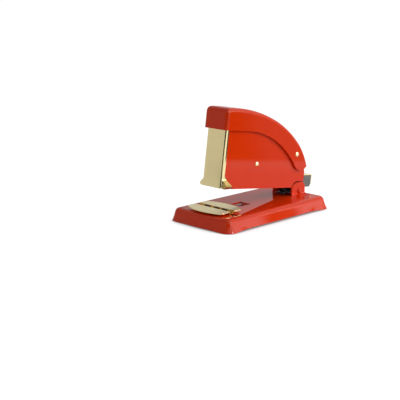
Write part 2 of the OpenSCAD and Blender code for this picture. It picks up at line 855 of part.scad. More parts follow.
// Saddle on the rail, pushed along it by the spring on the rod
module staple_pusher() {
    hw = staple_w / 2 - 0.1;
    top = staple_z + staple_h;
    color(dark_steel) on_head() translate([pusher_x, 0, 0])
        difference() {
            union() {
                difference() {
                    translate([0, -hw, staple_z + 0.2]) cube([pusher_l, 2 * hw, top - staple_z - 0.2]);
                    translate([-1, -rail_w / 2 - 0.15, staple_z - 1])
                        cube([pusher_l + 2, rail_w + 0.3, rail_top + 0.1 - staple_z + 1]);
                }
                translate([1, -1.1, rod_z]) cube([8, 2.2, top - rod_z - 0.2]);
                translate([1, 0, rod_z]) rotate([0, 90, 0]) cylinder(r = 1.9, h = 8);
            }
            translate([-1, 0, rod_z]) rotate([0, 90, 0]) cylinder(r = rod_r + fit, h = 30);
        }
}

module pusher_rod() {
    color(steel) on_head()
        translate([rod_front, 0, rod_z]) rotate([0, 90, 0]) cylinder(r = rod_r, h = tab_x[0] + 2 - rod_front);
}

module rod_clip() {
    color(dark_steel) on_head()
        translate([rod_front + 1, 0, rod_z]) rotate([0, 90, 0])
            difference() {
                cylinder(r = 1.8, h = 0.6);
                translate([0, 0, -1]) cylinder(r = rod_r + 0.02, h = 3);
            }
}

module pusher_spring() {
    x0 = pusher_x + 9 + eps;
    x1 = 39.5 - eps;
    color(dark_steel) on_head()
        translate([x0, 0, rod_z]) rotate([0, 90, 0]) coil(1.5, 0.22, 18, x1 - x0, 10, 5);
}

// Grip at the tail, with a plug that closes the channel and holds the rod
module pull_tab() {
    color(steel) on_head()
        difference() {
            union() {
                across(-tab_w_y / 2, tab_w_y / 2)
                    polygon(concat(
                        [[tab_x[0], tab_z[1]], [tab_x[0], tab_z[0]]],
                        arc([tab_x[1] - 2, tab_z[0] + 2], 2, 270, 360, 8),
                        [[tab_x[1], tab_z[1]]]
                    ));
                translate([39.5, -4.4, channel_floor + channel_t + 0.2]) cube([4.5, 8.8, 4.6]);
            }
            translate([30, 0, rod_z]) rotate([0, 90, 0]) cylinder(r = rod_r + 0.02, h = tab_x[0] + 2 - 30);
        }
}

// Brass strip folded over the top and the end of the tab
module tab_trim() {
    hw = tab_w_y / 2;
    color(brass) on_head()
        across(-hw, hw)
            polygon(concat(
                [
                    [tab_x[0], tab_z[1]],
                    [tab_x[1], tab_z[1]],
                    [tab_x[1], tab_z[0] + 2],
                    [tab_x[1] + trim_t, tab_z[0] + 2]
                ],
                arc([tab_x[1] + trim_t - 1, tab_z[1] + trim_t - 1], 1, 0, 90, 5),
                [[tab_x[0], tab_z[1] + trim_t]]
            ));
}

base_pan();
rubber_feet();
anvil_spring();
hinge_pin();
hinge_spring();
anvil_plate();
anvil_keeper();
left_side_plate();
right_side_plate();
front_cover();
hinge_bush();
driver_guide();
magazine_channel();
staple_rail();
staple_strip();
frame_rivet();
frame_spacer();
pivot_rivet();
pivot_spacer();
spring_seat();
handle_spring();
handle_cover();
driver_hanger();
spring_cup();
driver_blade();
staple_pusher();
pusher_rod();
rod_clip();
pusher_spring();
pull_tab();
tab_trim();
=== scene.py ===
# %% [markdown]
# # A small enamelled desk stapler
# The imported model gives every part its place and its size. This lesson dresses those parts one at a
# time: what each piece is on the real stapler, how it could be made in Blender, and why one way was
# chosen. Drawing is done in millimetres, in the same two frames that the maker would use: the base,
# and the head as it lies level before the hinge spring tilts it up.

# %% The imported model
import json
from math import cos, pi, radians, sin

import bmesh
import bpy
from mathutils import Matrix, Vector


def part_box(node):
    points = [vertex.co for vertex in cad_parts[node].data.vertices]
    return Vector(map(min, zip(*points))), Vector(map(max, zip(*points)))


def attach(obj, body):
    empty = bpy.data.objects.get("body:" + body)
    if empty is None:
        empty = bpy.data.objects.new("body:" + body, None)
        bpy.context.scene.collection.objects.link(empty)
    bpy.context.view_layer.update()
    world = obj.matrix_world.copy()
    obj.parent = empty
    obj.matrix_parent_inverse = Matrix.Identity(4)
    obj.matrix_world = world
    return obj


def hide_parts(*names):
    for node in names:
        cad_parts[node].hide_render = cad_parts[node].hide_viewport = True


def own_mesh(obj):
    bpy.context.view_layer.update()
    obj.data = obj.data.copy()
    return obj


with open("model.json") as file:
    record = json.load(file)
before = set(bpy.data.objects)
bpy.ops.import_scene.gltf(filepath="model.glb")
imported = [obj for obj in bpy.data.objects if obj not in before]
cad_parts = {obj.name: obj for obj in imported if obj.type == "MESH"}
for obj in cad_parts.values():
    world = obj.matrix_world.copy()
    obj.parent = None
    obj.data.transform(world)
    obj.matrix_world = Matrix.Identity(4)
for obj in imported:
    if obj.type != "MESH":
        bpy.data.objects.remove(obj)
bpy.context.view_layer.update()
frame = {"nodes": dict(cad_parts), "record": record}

# %% [markdown]
# Everything is placed from the hinge pin, because both frames meet there. The base's frame has its
# origin in the middle of the base on the table. The head's frame is the same one, turned about the
# pin by the angle at which the head rests.

# %% The two drawing frames
MM = 0.001
PIN_X, PIN_Z = 38.7, 10.9
HEAD_TILT = radians(8)
pin_low, pin_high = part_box("hinge_pin")
pin = (pin_low + pin_high) / 2

to_mm = Matrix.Scale(MM, 4)
from_pin = Matrix.Translation((-PIN_X, 0, -PIN_Z))
on_base = Matrix.Translation(pin) @ to_mm @ from_pin
on_head = Matrix.Translation(pin) @ Matrix.Rotation(HEAD_TILT, 4, "Y") @ to_mm @ from_pin
print("hinge pin in mm:", [round(v / MM, 2) for v in pin])

# %% [markdown]
# Colours are written as the hex values that a painter's chart would give. Shaders need linear light,
# so one function turns them. A second small function adds a node with its settings and links.

# %% Helpers for materials
def linear(hexa):
    """Linear colour of an sRGB hex value."""
    parts = [int(hexa[i:i + 2], 16) / 255 for i in (1, 3, 5)]
    return (*[p / 12.92 if p <= 0.04045 else ((p + 0.055) / 1.055) ** 2.4 for p in parts], 1)


def add(tree, kind, links=None, values=None, **settings):
    """Adds a node. Settings are its properties, values its sockets, links what feeds each socket."""
    node = tree.nodes.new(kind)
    for key, value in settings.items():
        setattr(node, key, value)
    for key, value in (values or {}).items():
        node.inputs[key].default_value = value
    for key, source in (links or {}).items():
        tree.links.new(source, node.inputs[key])
    return node


def finish_of(name, metallic, roughness, ior=1.5):
    """A new material with one Principled shader, and that shader."""
    material = bpy.data.materials.new(name)
    material.use_nodes = True
    shader = material.node_tree.nodes["Principled BSDF"]
    shader.inputs["Metallic"].default_value = metallic
    shader.inputs["Roughness"].default_value = roughness
    shader.inputs["IOR"].default_value = ior
    return material, shader


def per_mm(size):
    """Scale of a pattern on Object coordinates whose features are size millimetres apart."""
    return 1 / (size * MM)


# %% [markdown]
# ## The finishes
# **Baked enamel.** The steel is sprayed orange-red and baked, so the colour is deep and even and the
# skin is glossy. Thick paint levels out with a faint orange peel, a ripple a few millimetres across,
# which makes long reflections wander a little. Handling leaves it slightly less glossy in patches.
# Real enamel bends light with an index near 1.5. It is set lower here, because the room drawn further
# down would reflect too strongly: the value is chosen for the look and is not a property of the paint.

# %% Baked enamel
ENAMEL = "#E93C05"
ENAMEL_DEEP = "#E23504"
ENAMEL_IOR = 1.32
ENAMEL_GLOSS = (0.03, 0.065)
PEEL_MM, PEEL_DEPTH = 2.6, 0.02
HANDLING_MM = 14


def baked_enamel():
    material, shader = finish_of("baked_enamel", 0, 0.1, ior=ENAMEL_IOR)
    tree = material.node_tree
    place = add(tree, "ShaderNodeTexCoord").outputs["Object"]
    patches = add(tree, "ShaderNodeTexNoise", {"Vector": place}, {"Scale": per_mm(HANDLING_MM), "Detail": 3})
    tint = add(tree, "ShaderNodeMix", {"Factor": patches.outputs["Fac"]}, data_type="RGBA")
    tint.inputs["A"].default_value = linear(ENAMEL_DEEP)
    tint.inputs["B"].default_value = linear(ENAMEL)
    gloss = add(tree, "ShaderNodeMapRange", {"Value": patches.outputs["Fac"]},
        {"From Min": 0.35, "From Max": 0.75, "To Min": ENAMEL_GLOSS[0], "To Max": ENAMEL_GLOSS[1]})
    peel = add(tree, "ShaderNodeTexNoise", {"Vector": place}, {"Scale": per_mm(PEEL_MM), "Detail": 1})
    ripple = add(tree, "ShaderNodeBump", {"Height": peel.outputs["Fac"]},
        {"Strength": PEEL_DEPTH, "Distance": 0.1 * MM})
    tree.links.new(tint.outputs["Result"], shader.inputs["Base Color"])
    tree.links.new(gloss.outputs["Result"], shader.inputs["Roughness"])
    tree.links.new(ripple.outputs["Normal"], shader.inputs["Normal"])
    return material


red_enamel = baked_enamel()
print("made", red_enamel.name)

# %% [markdown]
# **Brass plating.** The cover and rivets are steel with a thin bright brass coat. Plating is smooth
# and mirrors the room, with a faint haze from polishing. The anvil's coat is duller: its top is left
# with the fine lines of the rolling mill, which run along its length, so it scatters light evenly.
# The trough is painted a darker, redder gold and its pockets nearly brown, as painted shade in these
# hollows. The near wing of the cover gets a darker, streaked coat, and that one is a stand-in: a painted
# reflection. Bent sheet shows dark and gold streaks because of what it mirrors. This room doesn't give
# it those reflections, so the coat's colours paint them.

# %% Brass plating
BRASS = "#FFEDB8"
BRASS_SHADE = "#F9E6A8"
LINES_MM, HAZE_MM = 0.5, 7
DRAWN = 0.04


def brass_plating(name, roughness, line_depth, run, light=BRASS, shade=BRASS_SHADE):
    """Brass whose lines run along the axis named by run ("X", "Y" or "Z")."""
    material, shader = finish_of(name, 1, roughness)
    tree = material.node_tree
    place = add(tree, "ShaderNodeTexCoord").outputs["Object"]
    stretch = {"X": (DRAWN, 1, 1), "Y": (1, DRAWN, 1), "Z": (1, 1, DRAWN)}[run]
    drawn = add(tree, "ShaderNodeMapping", {"Vector": place}, {"Scale": stretch})
    lines = add(tree, "ShaderNodeTexNoise", {"Vector": drawn.outputs["Vector"]},
        {"Scale": per_mm(LINES_MM), "Detail": 4, "Roughness": 0.6})
    haze = add(tree, "ShaderNodeTexNoise", {"Vector": place}, {"Scale": per_mm(HAZE_MM), "Detail": 2})
    tint = add(tree, "ShaderNodeMix", {"Factor": haze.outputs["Fac"]}, data_type="RGBA")
    tint.inputs["A"].default_value = linear(shade)
    tint.inputs["B"].default_value = linear(light)
    gloss = add(tree, "ShaderNodeMapRange", {"Value": lines.outputs["Fac"]},
        {"From Min": 0.3, "From Max": 0.7, "To Min": roughness * 0.8, "To Max": roughness * 1.3})
    bump = add(tree, "ShaderNodeBump", {"Height": lines.outputs["Fac"]},
        {"Strength": line_depth, "Distance": 0.05 * MM})
    tree.links.new(tint.outputs["Result"], shader.inputs["Base Color"])
    tree.links.new(gloss.outputs["Result"], shader.inputs["Roughness"])
    tree.links.new(bump.outputs["Normal"], shader.inputs["Normal"])
    return material


bright_brass = brass_plating("bright_brass_plating", 0.09, 0.04, "Z")
rolled_brass = brass_plating("rolled_brass_plating", 0.22, 0.4, "Y")
# Painted shade: the trough's darker, redder gold.
trough_painted_shade = brass_plating("brass_trough_painted_shade", 0.2, 0.2, "Y", light="#E3AE55", shade="#B47A2B")
# Painted reflection: the near wing's darker, streaked gold.
wing_painted_reflection = brass_plating("brass_wing_painted_reflection", 0.16, 0.5, "Z", light="#D9BC76", shade="#A08246")
# Painted shade: the pockets' near-brown.
pocket_painted_shade = brass_plating("brass_pocket_painted_shade", 0.35, 0.3, "Y", light="#6E4A24", shade="#3E2812")
print("made", bright_brass.name, rolled_brass.name, trough_painted_shade.name, wing_painted_reflection.name, pocket_painted_shade.name)

# %% [markdown]
# ** Zinc, spring wire, staple wire and rubber.** The hidden steel is zinc plated after pressing, which
# gives a pale grey with a soft mottled sheen. Springs are drawn wire, darker and oiled. Staples are
# galvanised wire, brighter, with the drawing lines along them. The feet are moulded black rubber:
# matt, with a fine grain from the mould. The steel round the hinge is painted near black, as painted
# shade, so that the gap under the head reads dark, and the grip is zinc brushed to a middle grey.

# %% Plain metals and rubber
def mottled(name, light, shade, metallic, roughness, patch_mm, bump_depth):
    """A finish whose colour and gloss wander between two values over patches of the given size."""
    material, shader = finish_of(name, metallic, roughness)
    tree = material.node_tree
    place = add(tree, "ShaderNodeTexCoord").outputs["Object"]
    patches = add(tree, "ShaderNodeTexNoise", {"Vector": place}, {"Scale": per_mm(patch_mm), "Detail": 4})
    tint = add(tree, "ShaderNodeMix", {"Factor": patches.outputs["Fac"]}, data_type="RGBA")
    tint.inputs["A"].default_value = linear(shade)
    tint.inputs["B"].default_value = linear(light)
    gloss = add(tree, "ShaderNodeMapRange", {"Value": patches.outputs["Fac"]},
        {"From Min": 0.3, "From Max": 0.7, "To Min": roughness * 0.8, "To Max": roughness * 1.2})
    bump = add(tree, "ShaderNodeBump", {"Height": patches.outputs["Fac"]},
        {"Strength": bump_depth, "Distance": 0.05 * MM})
    tree.links.new(tint.outputs["Result"], shader.inputs["Base Color"])
    tree.links.new(gloss.outputs["Result"], shader.inputs["Roughness"])
    tree.links.new(bump.outputs["Normal"], shader.inputs["Normal"])
    return material


zinc_plate = mottled("zinc_plate", "#A6A5A2", "#868583", 1, 0.36, 1.6, 0.2)
grip_zinc = mottled("brushed_zinc", "#7D7A78", "#6E6C6A", 1, 0.42, 0.8, 0.15)
# Painted shade: a near-black steel for the parts round the hinge, so the gap under the head reads dark.
painted_shade_steel = mottled("steel_painted_shade", "#201F1E", "#151414", 1, 0.4, 1.2, 0.2)
spring_wire = mottled("oiled_spring_wire", "#4E4C4A", "#33312F", 1, 0.3, 0.7, 0.1)
staple_wire = mottled("galvanised_wire", "#C9CACB", "#A5A6A8", 1, 0.24, 0.6, 0.1)
foot_rubber = mottled("moulded_rubber", "#232322", "#161616", 0, 0.75, 0.5, 0.5)
by_slot = {
    "red_enamel": red_enamel,
    "brass_plate": bright_brass,
    "zinc_steel": zinc_plate,
    "spring_steel": spring_wire,
    "staple_wire": staple_wire,
    "foot_rubber": foot_rubber,
}
for part in frame["record"]["subparts"]:
    node = frame["nodes"][part["node"]]
    node.data.materials.clear()
    node.data.materials.append(by_slot[part["material_slot"]])
print("finished", len(frame["nodes"]), "nodes")

# %% [markdown]
# ## How the pieces are drawn
# Most of this stapler is sheet steel, cut to an outline and folded. So the main tool is a pen: it
# starts at a vertex, draws straight lines by adding a vertex, and draws arcs by spinning its last
# vertex about a centre. What it draws is then filled and extruded, or pulled up row by row.

# %% A pen for outlines
def trace(bm, start, moves, level=None, closed=True):
    """Draws an outline and returns its edges. A move is a point, or (centre, turn, steps) for an arc.
    It stands in the X-Z plane, or lies flat at height level if one is given."""
    def spot(p):
        return Vector((p[0], 0, p[1])) if level is None else Vector((p[0], p[1], level))
    axis = (0, -1, 0) if level is None else (0, 0, 1)
    before = set(bm.edges)
    first = tip = bm.verts.new(spot(start))
    for move in moves:
        if isinstance(move[0], (tuple, Vector)):
            centre, turn, steps = move
            arc = bmesh.ops.spin(bm, geom=[tip], cent=spot(centre), axis=axis, angle=radians(turn),
                steps=steps, use_merge=False)
            tip = arc["geom_last"][0]
        else:
            corner = bm.verts.new(spot(move))
            bm.edges.new((tip, corner))
            tip = corner
    if closed and (tip.co - first.co).length < 1e-3:
        bmesh.ops.weld_verts(bm, targetmap={tip: first})
    elif closed:
        bm.edges.new((tip, first))
    return [e for e in bm.edges if e not in before]


def fill(bm, edges):
    """Face inside a closed outline."""
    return bmesh.ops.contextual_create(bm, geom=edges)["faces"][0]


def new_of(made, kind):
    """The vertices, edges or faces among what an extrusion made."""
    return [g for g in made["geom"] if isinstance(g, kind)]


def stretch(bm, face, y0, y1):
    """Moves a standing outline to y0 and extrudes it to y1."""
    bmesh.ops.translate(bm, verts=face.verts[:], vec=(0, y0, 0))
    grown = bmesh.ops.extrude_face_region(bm, geom=[face], use_keep_orig=True)
    bmesh.ops.translate(bm, verts=new_of(grown, bmesh.types.BMVert), vec=(0, y1 - y0, 0))
    bmesh.ops.recalc_face_normals(bm, faces=bm.faces[:])


def pull(bm, edges, offset):
    """Extrudes edges by an offset. Returns the new edges."""
    grown = bmesh.ops.extrude_edge_only(bm, edges=edges)
    bmesh.ops.translate(bm, verts=new_of(grown, bmesh.types.BMVert), vec=offset)
    return new_of(grown, bmesh.types.BMEdge)


def roll(bm, edges, radius, segments):
    """Rounds edges."""
    bmesh.ops.bevel(bm, geom=edges, offset=radius, affect="EDGES", segments=segments, profile=0.5,
        material=-1)


print("pen ready")

# %% [markdown]
# A finished piece's object stays at the origin: its place goes into the mesh. Sheet steel is drawn as
# a skin, and a Solidify modifier gives it its gauge. Cut edges on real parts are never razor sharp,
# so a small bevel catches a thin line of light. Flat sheet with rounded edges shades best when the
# large faces keep their own normals, which is what the last modifier does.

# %% From a drawing to a piece
def piece(name, bm, place, material, stands_for,
        smooth=35, wall=0, edge=0, even=True, body=None):
    """Turns a drawing in mm into an object that replaces CAD nodes and rides on their body."""
    bm.transform(place)
    for face in bm.faces:
        face.smooth = True
    mesh = bpy.data.meshes.new(name)
    bm.to_mesh(mesh)
    bm.free()
    mesh.set_sharp_from_angle(angle=radians(smooth))
    mesh.materials.append(material)
    made = bpy.data.objects.new(name, mesh)
    bpy.context.scene.collection.objects.link(made)
    if wall:
        sheet = made.modifiers.new("sheet", "SOLIDIFY")
        sheet.thickness = wall * MM
        sheet.offset = -1
        sheet.use_even_offset = even
    if edge:
        ease = made.modifiers.new("eased edges", "BEVEL")
        ease.width = edge * MM
        ease.segments = 2
        ease.limit_method = "ANGLE"
        ease.angle_limit = radians(40)
        flat = made.modifiers.new("flat faces", "WEIGHTED_NORMAL")
        flat.keep_sharp = True
    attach(made, body or body_of[stands_for[0]])
    for node in stands_for:
        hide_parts(node)
    return made


body_of = {}
for body, nodes in frame["record"]["behaviour"]["bodies"].items():
    for node in nodes:
        body_of[node] = body

# %% [markdown]
# ## The base
# The base is a shallow pressed pan, open below. Its skirt slopes outwards, its shoulder is rolled,
# its long edges arch a little between the corner feet, and its front edge bows. A press forms it
# from the rim up, and so does this mesh: the rim is traced once, then pulled up in rows, each moved
# inwards, which keeps every row in line with the next and makes clean quads for the shoulder.
# Seen from above, the rear corners are rounder than the front ones and spread a little more.

# %% Measures of the base
BASE_L, BASE_W, BASE_H = 99.5, 53, 8.7
BASE_T = 1.2
CORNER_R, SHOULDER_R = 4.6, 3.4
SLOPE = radians(13.5)
RIM_Z = 0.25
RAMP, ARCH, FLARE, BOW = 12, 0.8, 0.6, 1.9
REAR_R, REAR_FLARE = 6, 1.5
TANGENT_Z = BASE_H - SHOULDER_R + SHOULDER_R * sin(SLOPE)
SHOULDER_IN = SHOULDER_R * cos(SLOPE) + (TANGENT_Z - RIM_Z) * sin(SLOPE) / cos(SLOPE)


def outward(v):
    """Direction straight out of the pan at v, and how far v is from the nearest corner's arc."""
    r = REAR_R if v.x > 0 else CORNER_R
    core_x, core_y = BASE_L / 2 - r, BASE_W / 2 - r
    core = Vector((min(core_x, max(-core_x, v.x)), min(core_y, max(-core_y, v.y)), 0))
    out = Vector((v.x, v.y, 0)) - core
    return out.normalized(), core_x - abs(core.x) + core_y - abs(core.y)


def press_skirt(v):
    """Adds the corner flare, the edge arch and the front bow to a vertex of the skirt."""
    out, run = outward(v)
    t = min(1, run / RAMP)
    arch = t * t * (3 - 2 * t)
    low = max(0, 1 - v.z / TANGENT_Z)
    bow = BOW * (1 - (2 * v.y / BASE_W) ** 2) * (2 * v.x / BASE_L) ** 4 if v.x < 0 else 0
    lift = ARCH * arch * low * (1 - 0.7 * abs(out.x)) if v.z < BASE_H else 0
    return v + out * FLARE * (REAR_FLARE if v.x > 0 else 1) * (1 - arch) * low * low + Vector((-bow, 0, lift))


rows = [((z - RIM_Z) * sin(SLOPE) / cos(SLOPE), z)
    for z in [RIM_Z + (TANGENT_Z - RIM_Z) * k / 5 for k in range(1, 6)]]
for k in range(1, 9):
    angle = SLOPE + (pi / 2 - SLOPE) * k / 8
    rows.append((SHOULDER_IN - SHOULDER_R * cos(angle), BASE_H - SHOULDER_R + SHOULDER_R * sin(angle)))
print(len(rows), "rows from the rim to the top face")

# %% The skin of the base
def base_skin(bm):
    hl, hw, r = BASE_L / 2, BASE_W / 2, REAR_R
    rear = Vector((hl - r, hw - r))
    front = Vector((hl - CORNER_R, hw - CORNER_R))
    rim = trace(bm, (hl, -rear.y), [
        (hl, rear.y), (rear, 90, 8),
        (-front.x, hw), (Vector((-front.x, front.y)), 90, 8),
        (-hl, -front.y), (-front, 90, 8),
        (rear.x, -hw), (Vector((rear.x, -rear.y)), 90, 8),
    ], level=RIM_Z)
    sides = [e for e in rim if e.calc_length() > 2 * r]
    bmesh.ops.subdivide_edges(bm, edges=sides, cuts=19)
    ring = bm.edges[:]
    inset = 0
    for next_inset, z in rows:
        grown = bmesh.ops.extrude_edge_only(bm, edges=ring)
        for v in new_of(grown, bmesh.types.BMVert):
            out, _ = outward(v.co)
            v.co = v.co - out * (next_inset - inset)
            v.co.z = z
        ring = new_of(grown, bmesh.types.BMEdge)
        inset = next_inset
    fill(bm, ring)
    for v in bm.verts:
        v.co = press_skirt(v.co)
    bmesh.ops.recalc_face_normals(bm, faces=bm.faces[:])


# %% [markdown]
# The holes in the top are cut with bisecting planes, as a shear would, and the ears and the tongue
# are then pulled out of the edges of those holes. That is how they are made on the real pan: lanced
# and bent from the same sheet, so the metal runs on through the bend.

# %% Holes, ears and tongue
WINDOW_X, WINDOW_HALF = (-16, -6), 4.7
TONGUE_HALF, TONGUE_DROP = 2.5, 2.2
EAR_X, EAR_Y, EAR_TOP = (31, 44.9), 8.65, 17.1
EAR_FRONT_R, EAR_REAR_R, EAR_BEND = 5, 4, 0.9
SLOT_X, SLOT_HALF = -35.8, 2.1
SLOTS_Y = ((-20.2, -14.3), (10.8, 16.7))


def on_top(v):
    return v.co.z > BASE_H - 0.001


def cut_hole(bm, x0, x1, y0, y1):
    """Cuts a rectangle out of the top face."""
    for point, normal in (((x0, 0, 0), (1, 0, 0)), ((x1, 0, 0), (1, 0, 0)),
            ((0, y0, 0), (0, 1, 0)), ((0, y1, 0), (0, 1, 0))):
        top = [f for f in bm.faces if all(on_top(v) for v in f.verts)]
        parts = set(top)
        for f in top:
            parts.update(f.edges)
            parts.update(f.verts)
        bmesh.ops.bisect_plane(bm, geom=list(parts), dist=1e-4, plane_co=point, plane_no=normal)
    inside = []
    for f in bm.faces:
        c = f.calc_center_median()
        if x0 < c.x < x1 and y0 < c.y < y1 and all(on_top(v) for v in f.verts):
            inside.append(f)
    bmesh.ops.delete(bm, geom=inside, context="FACES")


def edges_at(bm, test):
    """Open edges both of whose ends pass a test."""
    return [e for e in bm.edges if e.is_boundary and all(test(v.co) for v in e.verts)]


def base_pan():
    bm = bmesh.new()
    base_skin(bm)
    cut_hole(bm, *WINDOW_X, -WINDOW_HALF, WINDOW_HALF)
    cut_hole(bm, *EAR_X, -EAR_Y, EAR_Y)
    for low, high in SLOTS_Y:
        cut_hole(bm, SLOT_X - SLOT_HALF, SLOT_X + SLOT_HALF, low, high)
    for side in (-1, 1):
        fold = edges_at(bm, lambda c: abs(c.y - side * EAR_Y) < 0.01
            and EAR_X[0] - 0.01 < c.x < EAR_X[1] + 0.01 and c.z > BASE_H - 0.01)
        brow = pull(bm, fold, (0, 0, EAR_TOP - BASE_H))
        front = [v for e in brow for v in e.verts if abs(v.co.x - EAR_X[0]) < 0.01][:1]
        rear = [v for e in brow for v in e.verts if abs(v.co.x - EAR_X[1]) < 0.01][:1]
        bmesh.ops.bevel(bm, geom=front, offset=EAR_FRONT_R, affect="VERTICES", segments=10, profile=0.5,
            material=-1)
        bmesh.ops.bevel(bm, geom=rear, offset=EAR_REAR_R, affect="VERTICES", segments=10, profile=0.5,
            material=-1)
        roll(bm, [e for e in fold if e.is_valid], EAR_BEND, 5)
    for y in (-TONGUE_HALF, TONGUE_HALF):
        rear = [f for f in bm.faces if all(on_top(v) for v in f.verts)
            and any(abs(v.co.x - WINDOW_X[1]) < 0.01 and abs(v.co.y) < WINDOW_HALF + 0.01 for v in f.verts)
            and f.calc_center_median().x > WINDOW_X[1]]
        parts = set(rear)
        for f in rear:
            parts.update(f.edges)
            parts.update(f.verts)
        bmesh.ops.bisect_plane(bm, geom=list(parts), dist=1e-4, plane_co=(0, y, 0), plane_no=(0, 1, 0))
    root = edges_at(bm, lambda c: abs(c.x - WINDOW_X[1]) < 0.01 and abs(c.y) < TONGUE_HALF + 0.01)
    lip = pull(bm, root, (-0.6, 0, -0.15))
    step = pull(bm, lip, (-2, 0, 0.15 - TONGUE_DROP))
    pull(bm, step, (-3.4, 0, 0))
    bmesh.ops.solidify(bm, geom=bm.faces[:], thickness=BASE_T)
    for v in bm.verts:
        v.co.z = max(v.co.z, RIM_Z)
    shell = piece("base_shell", bm, on_base, red_enamel, ["base_pan"], edge=0.2)
    print("made", shell.name, "with", len(shell.data.polygons), "faces")


base_pan()

# %% [markdown]
# ## The handle cover
# The tall red cover is one pressed shell. Its back follows three arcs, each tangent to the next, and
# turns over at the nose; its lower edge runs straight and then sweeps down to a round lobe over the
# rivet that it turns on. The outline is drawn once, extruded to the cover's width, and its long edges
# are rolled with a bevel. The lower faces are taken away first, so what is left is an open shell, and
# a Solidify modifier gives the steel its gauge inwards.

# %% Arcs of the handle cover
HANDLE_W, HANDLE_T = 19.9, 1
HANDLE_ROLL = 2.7
BACK_1_C, BACK_1_R, BACK_1_END = Vector((-31.4, -50.05)), 115.2, 71.1
BACK_2_R, BACK_2_END = 83.8, 51.4
BACK_3_R, TIP_ANGLE = 44.5, 24
NOSE_X, NOSE_R = -42.4, 3.4
EDGE_C, EDGE_R, EDGE_JOIN = Vector((-19.65, -14.7)), 65.6, 40.6
LOBE_R, LOBE_END = 7.7, 322
PIVOT = Vector((30.7, 36.4))


def polar(centre, radius, angle):
    """Point at a radius and an angle in degrees from a centre."""
    return centre + radius * Vector((cos(radians(angle)), sin(radians(angle))))


back_2_c = polar(BACK_1_C, BACK_1_R - BACK_2_R, BACK_1_END)
back_3_c = polar(back_2_c, BACK_2_R - BACK_3_R, BACK_2_END)
nose_reach = BACK_1_R - NOSE_R
nose_c = Vector((NOSE_X + NOSE_R, 0))
nose_c.y = BACK_1_C.y + (nose_reach ** 2 - (nose_c.x - BACK_1_C.x) ** 2) ** 0.5
nose_turn = 90 + Vector((0, 1)).angle(nose_c - BACK_1_C) * 180 / pi
lobe_c = polar(EDGE_C, EDGE_R + LOBE_R, EDGE_JOIN)
print("arcs meet the nose at", round(nose_turn, 1), "degrees")

# %% The handle cover's shell
def handle_cover():
    bm = bmesh.new()
    brow = EDGE_C.y + EDGE_R
    face = fill(bm, trace(bm, polar(back_3_c, BACK_3_R, TIP_ANGLE), [
        (back_3_c, BACK_2_END - TIP_ANGLE, 24),
        (back_2_c, BACK_1_END - BACK_2_END, 20),
        (BACK_1_C, nose_turn - BACK_1_END, 24),
        (nose_c, 180 - nose_turn, 10),
        (NOSE_X, brow),
        (EDGE_C.x, brow),
        (EDGE_C, EDGE_JOIN - 90, 28),
        (lobe_c, LOBE_END - 180 - EDGE_JOIN, 20),
    ]))
    half = HANDLE_W / 2
    stretch(bm, face, -half, half)
    below = []
    for f in bm.faces:
        c = f.calc_center_median()
        flat = Vector((c.x, c.z))
        on_back = (flat - back_3_c).length > BACK_3_R - 0.4 and f.normal.z > -0.2
        if abs(c.y) < half - 1 and f.normal.z < 0.35 and c.x > NOSE_X + 0.1 and not on_back:
            below.append(f)
    bmesh.ops.delete(bm, geom=below, context="FACES")
    long = [e for e in bm.edges if len(e.link_faces) == 2 and e.calc_face_angle() > radians(60)]
    roll(bm, [e for e in long if all(abs(abs(v.co.y) - half) < 0.01 for v in e.verts)], HANDLE_ROLL, 8)
    shell = piece("handle_shell", bm, on_head, red_enamel, ["handle_cover"],
        wall=HANDLE_T, edge=0.18)
    print("made", shell.name, "with", len(shell.data.polygons), "faces")


handle_cover()

# %% [markdown]
# ## The brass front cover
# A channel of plated sheet folds round the head's nose, and its foot spreads into two wings that
# guide the head onto paper. The plan of the fold is traced once and pulled down in rows. Then each
# vertex is moved as a forming tool would push it: back along the side plate's slanted corner,
# outwards in a flare that is steepest just behind the face, and in again at the rounded lower edge.
# Each wing has a flare of its own. On the real part the two are probably alike, but with one number
# for both, one side or the other looked wrong. So these two are a fit and not a known measure.

# %% The flare of the cover
COVER_X, COVER_HALF, COVER_T, COVER_R = -40.3, 8.45, 0.8, 1.9
COVER_REAR, SLANT = -37.5, 1.127
FOLD_Z, FOOT_Z = 21.7, 13.8
WING_REAR_X, WING_REAR, WING_LAP = -30.3, 1.6, 0.8
NEAR_TIP, FAR_TIP = 4.3, 5.4
FLARE_Z, NEAR_DROP, FAR_DROP = 20.2, 4.4, 4.8
FOOT_DIP, TUCK_H, TUCK_MOST = 1.8, 2.3, 2.1
WING_START, WING_CREST, WING_FALL = 1.15, 2.4, 1.1
CHANNEL_X = -35.8
# How far past the cover's side the near wing's painted reflection begins.
PAINTED_REFLECTION_FROM = 0.12


def ramp(value, start, end):
    """Smooth step from 0 at start to 1 at end."""
    t = min(1, max(0, (value - start) / (end - start)))
    return t * t * (3 - 2 * t)


def flare(d, tip):
    """How far a wing with the given tip stands out, d behind the cover's face."""
    if d < WING_CREST:
        return tip * ramp(d, WING_START, WING_CREST)
    run = WING_REAR_X - COVER_X - WING_CREST
    return WING_REAR + (tip - WING_REAR) * max(0, 1 - (d - WING_CREST) / run) ** WING_FALL


def spread(z, drop):
    """Share of the flare reached at height z, when the whole flare takes the given drop."""
    t = max(0, min(1, (FLARE_Z - z) / drop))
    return t * t / 0.64 if t < 0.4 else 0.25 + (t - 0.4) * 1.25


def tuck(x, height, tip):
    """Inward turn at a height above the wing's lower edge."""
    t = min(1, max(0, 1 - height / TUCK_H))
    most = TUCK_MOST if x < CHANNEL_X else min(TUCK_MOST, flare(x - COVER_X, tip) - 0.6)
    return most * ramp(x - COVER_X, WING_START, WING_CREST) * (1 - (1 - t * t) ** 0.5)


def lower_edge(x):
    """Height of the wing's lower edge, which dips between the face and the rear."""
    u = (x - COVER_X - 0.3) / (WING_REAR_X - COVER_X - 0.3)
    return FOOT_Z - FOOT_DIP * sin(pi * max(0, min(1, (u - 0.1) / 0.95)))


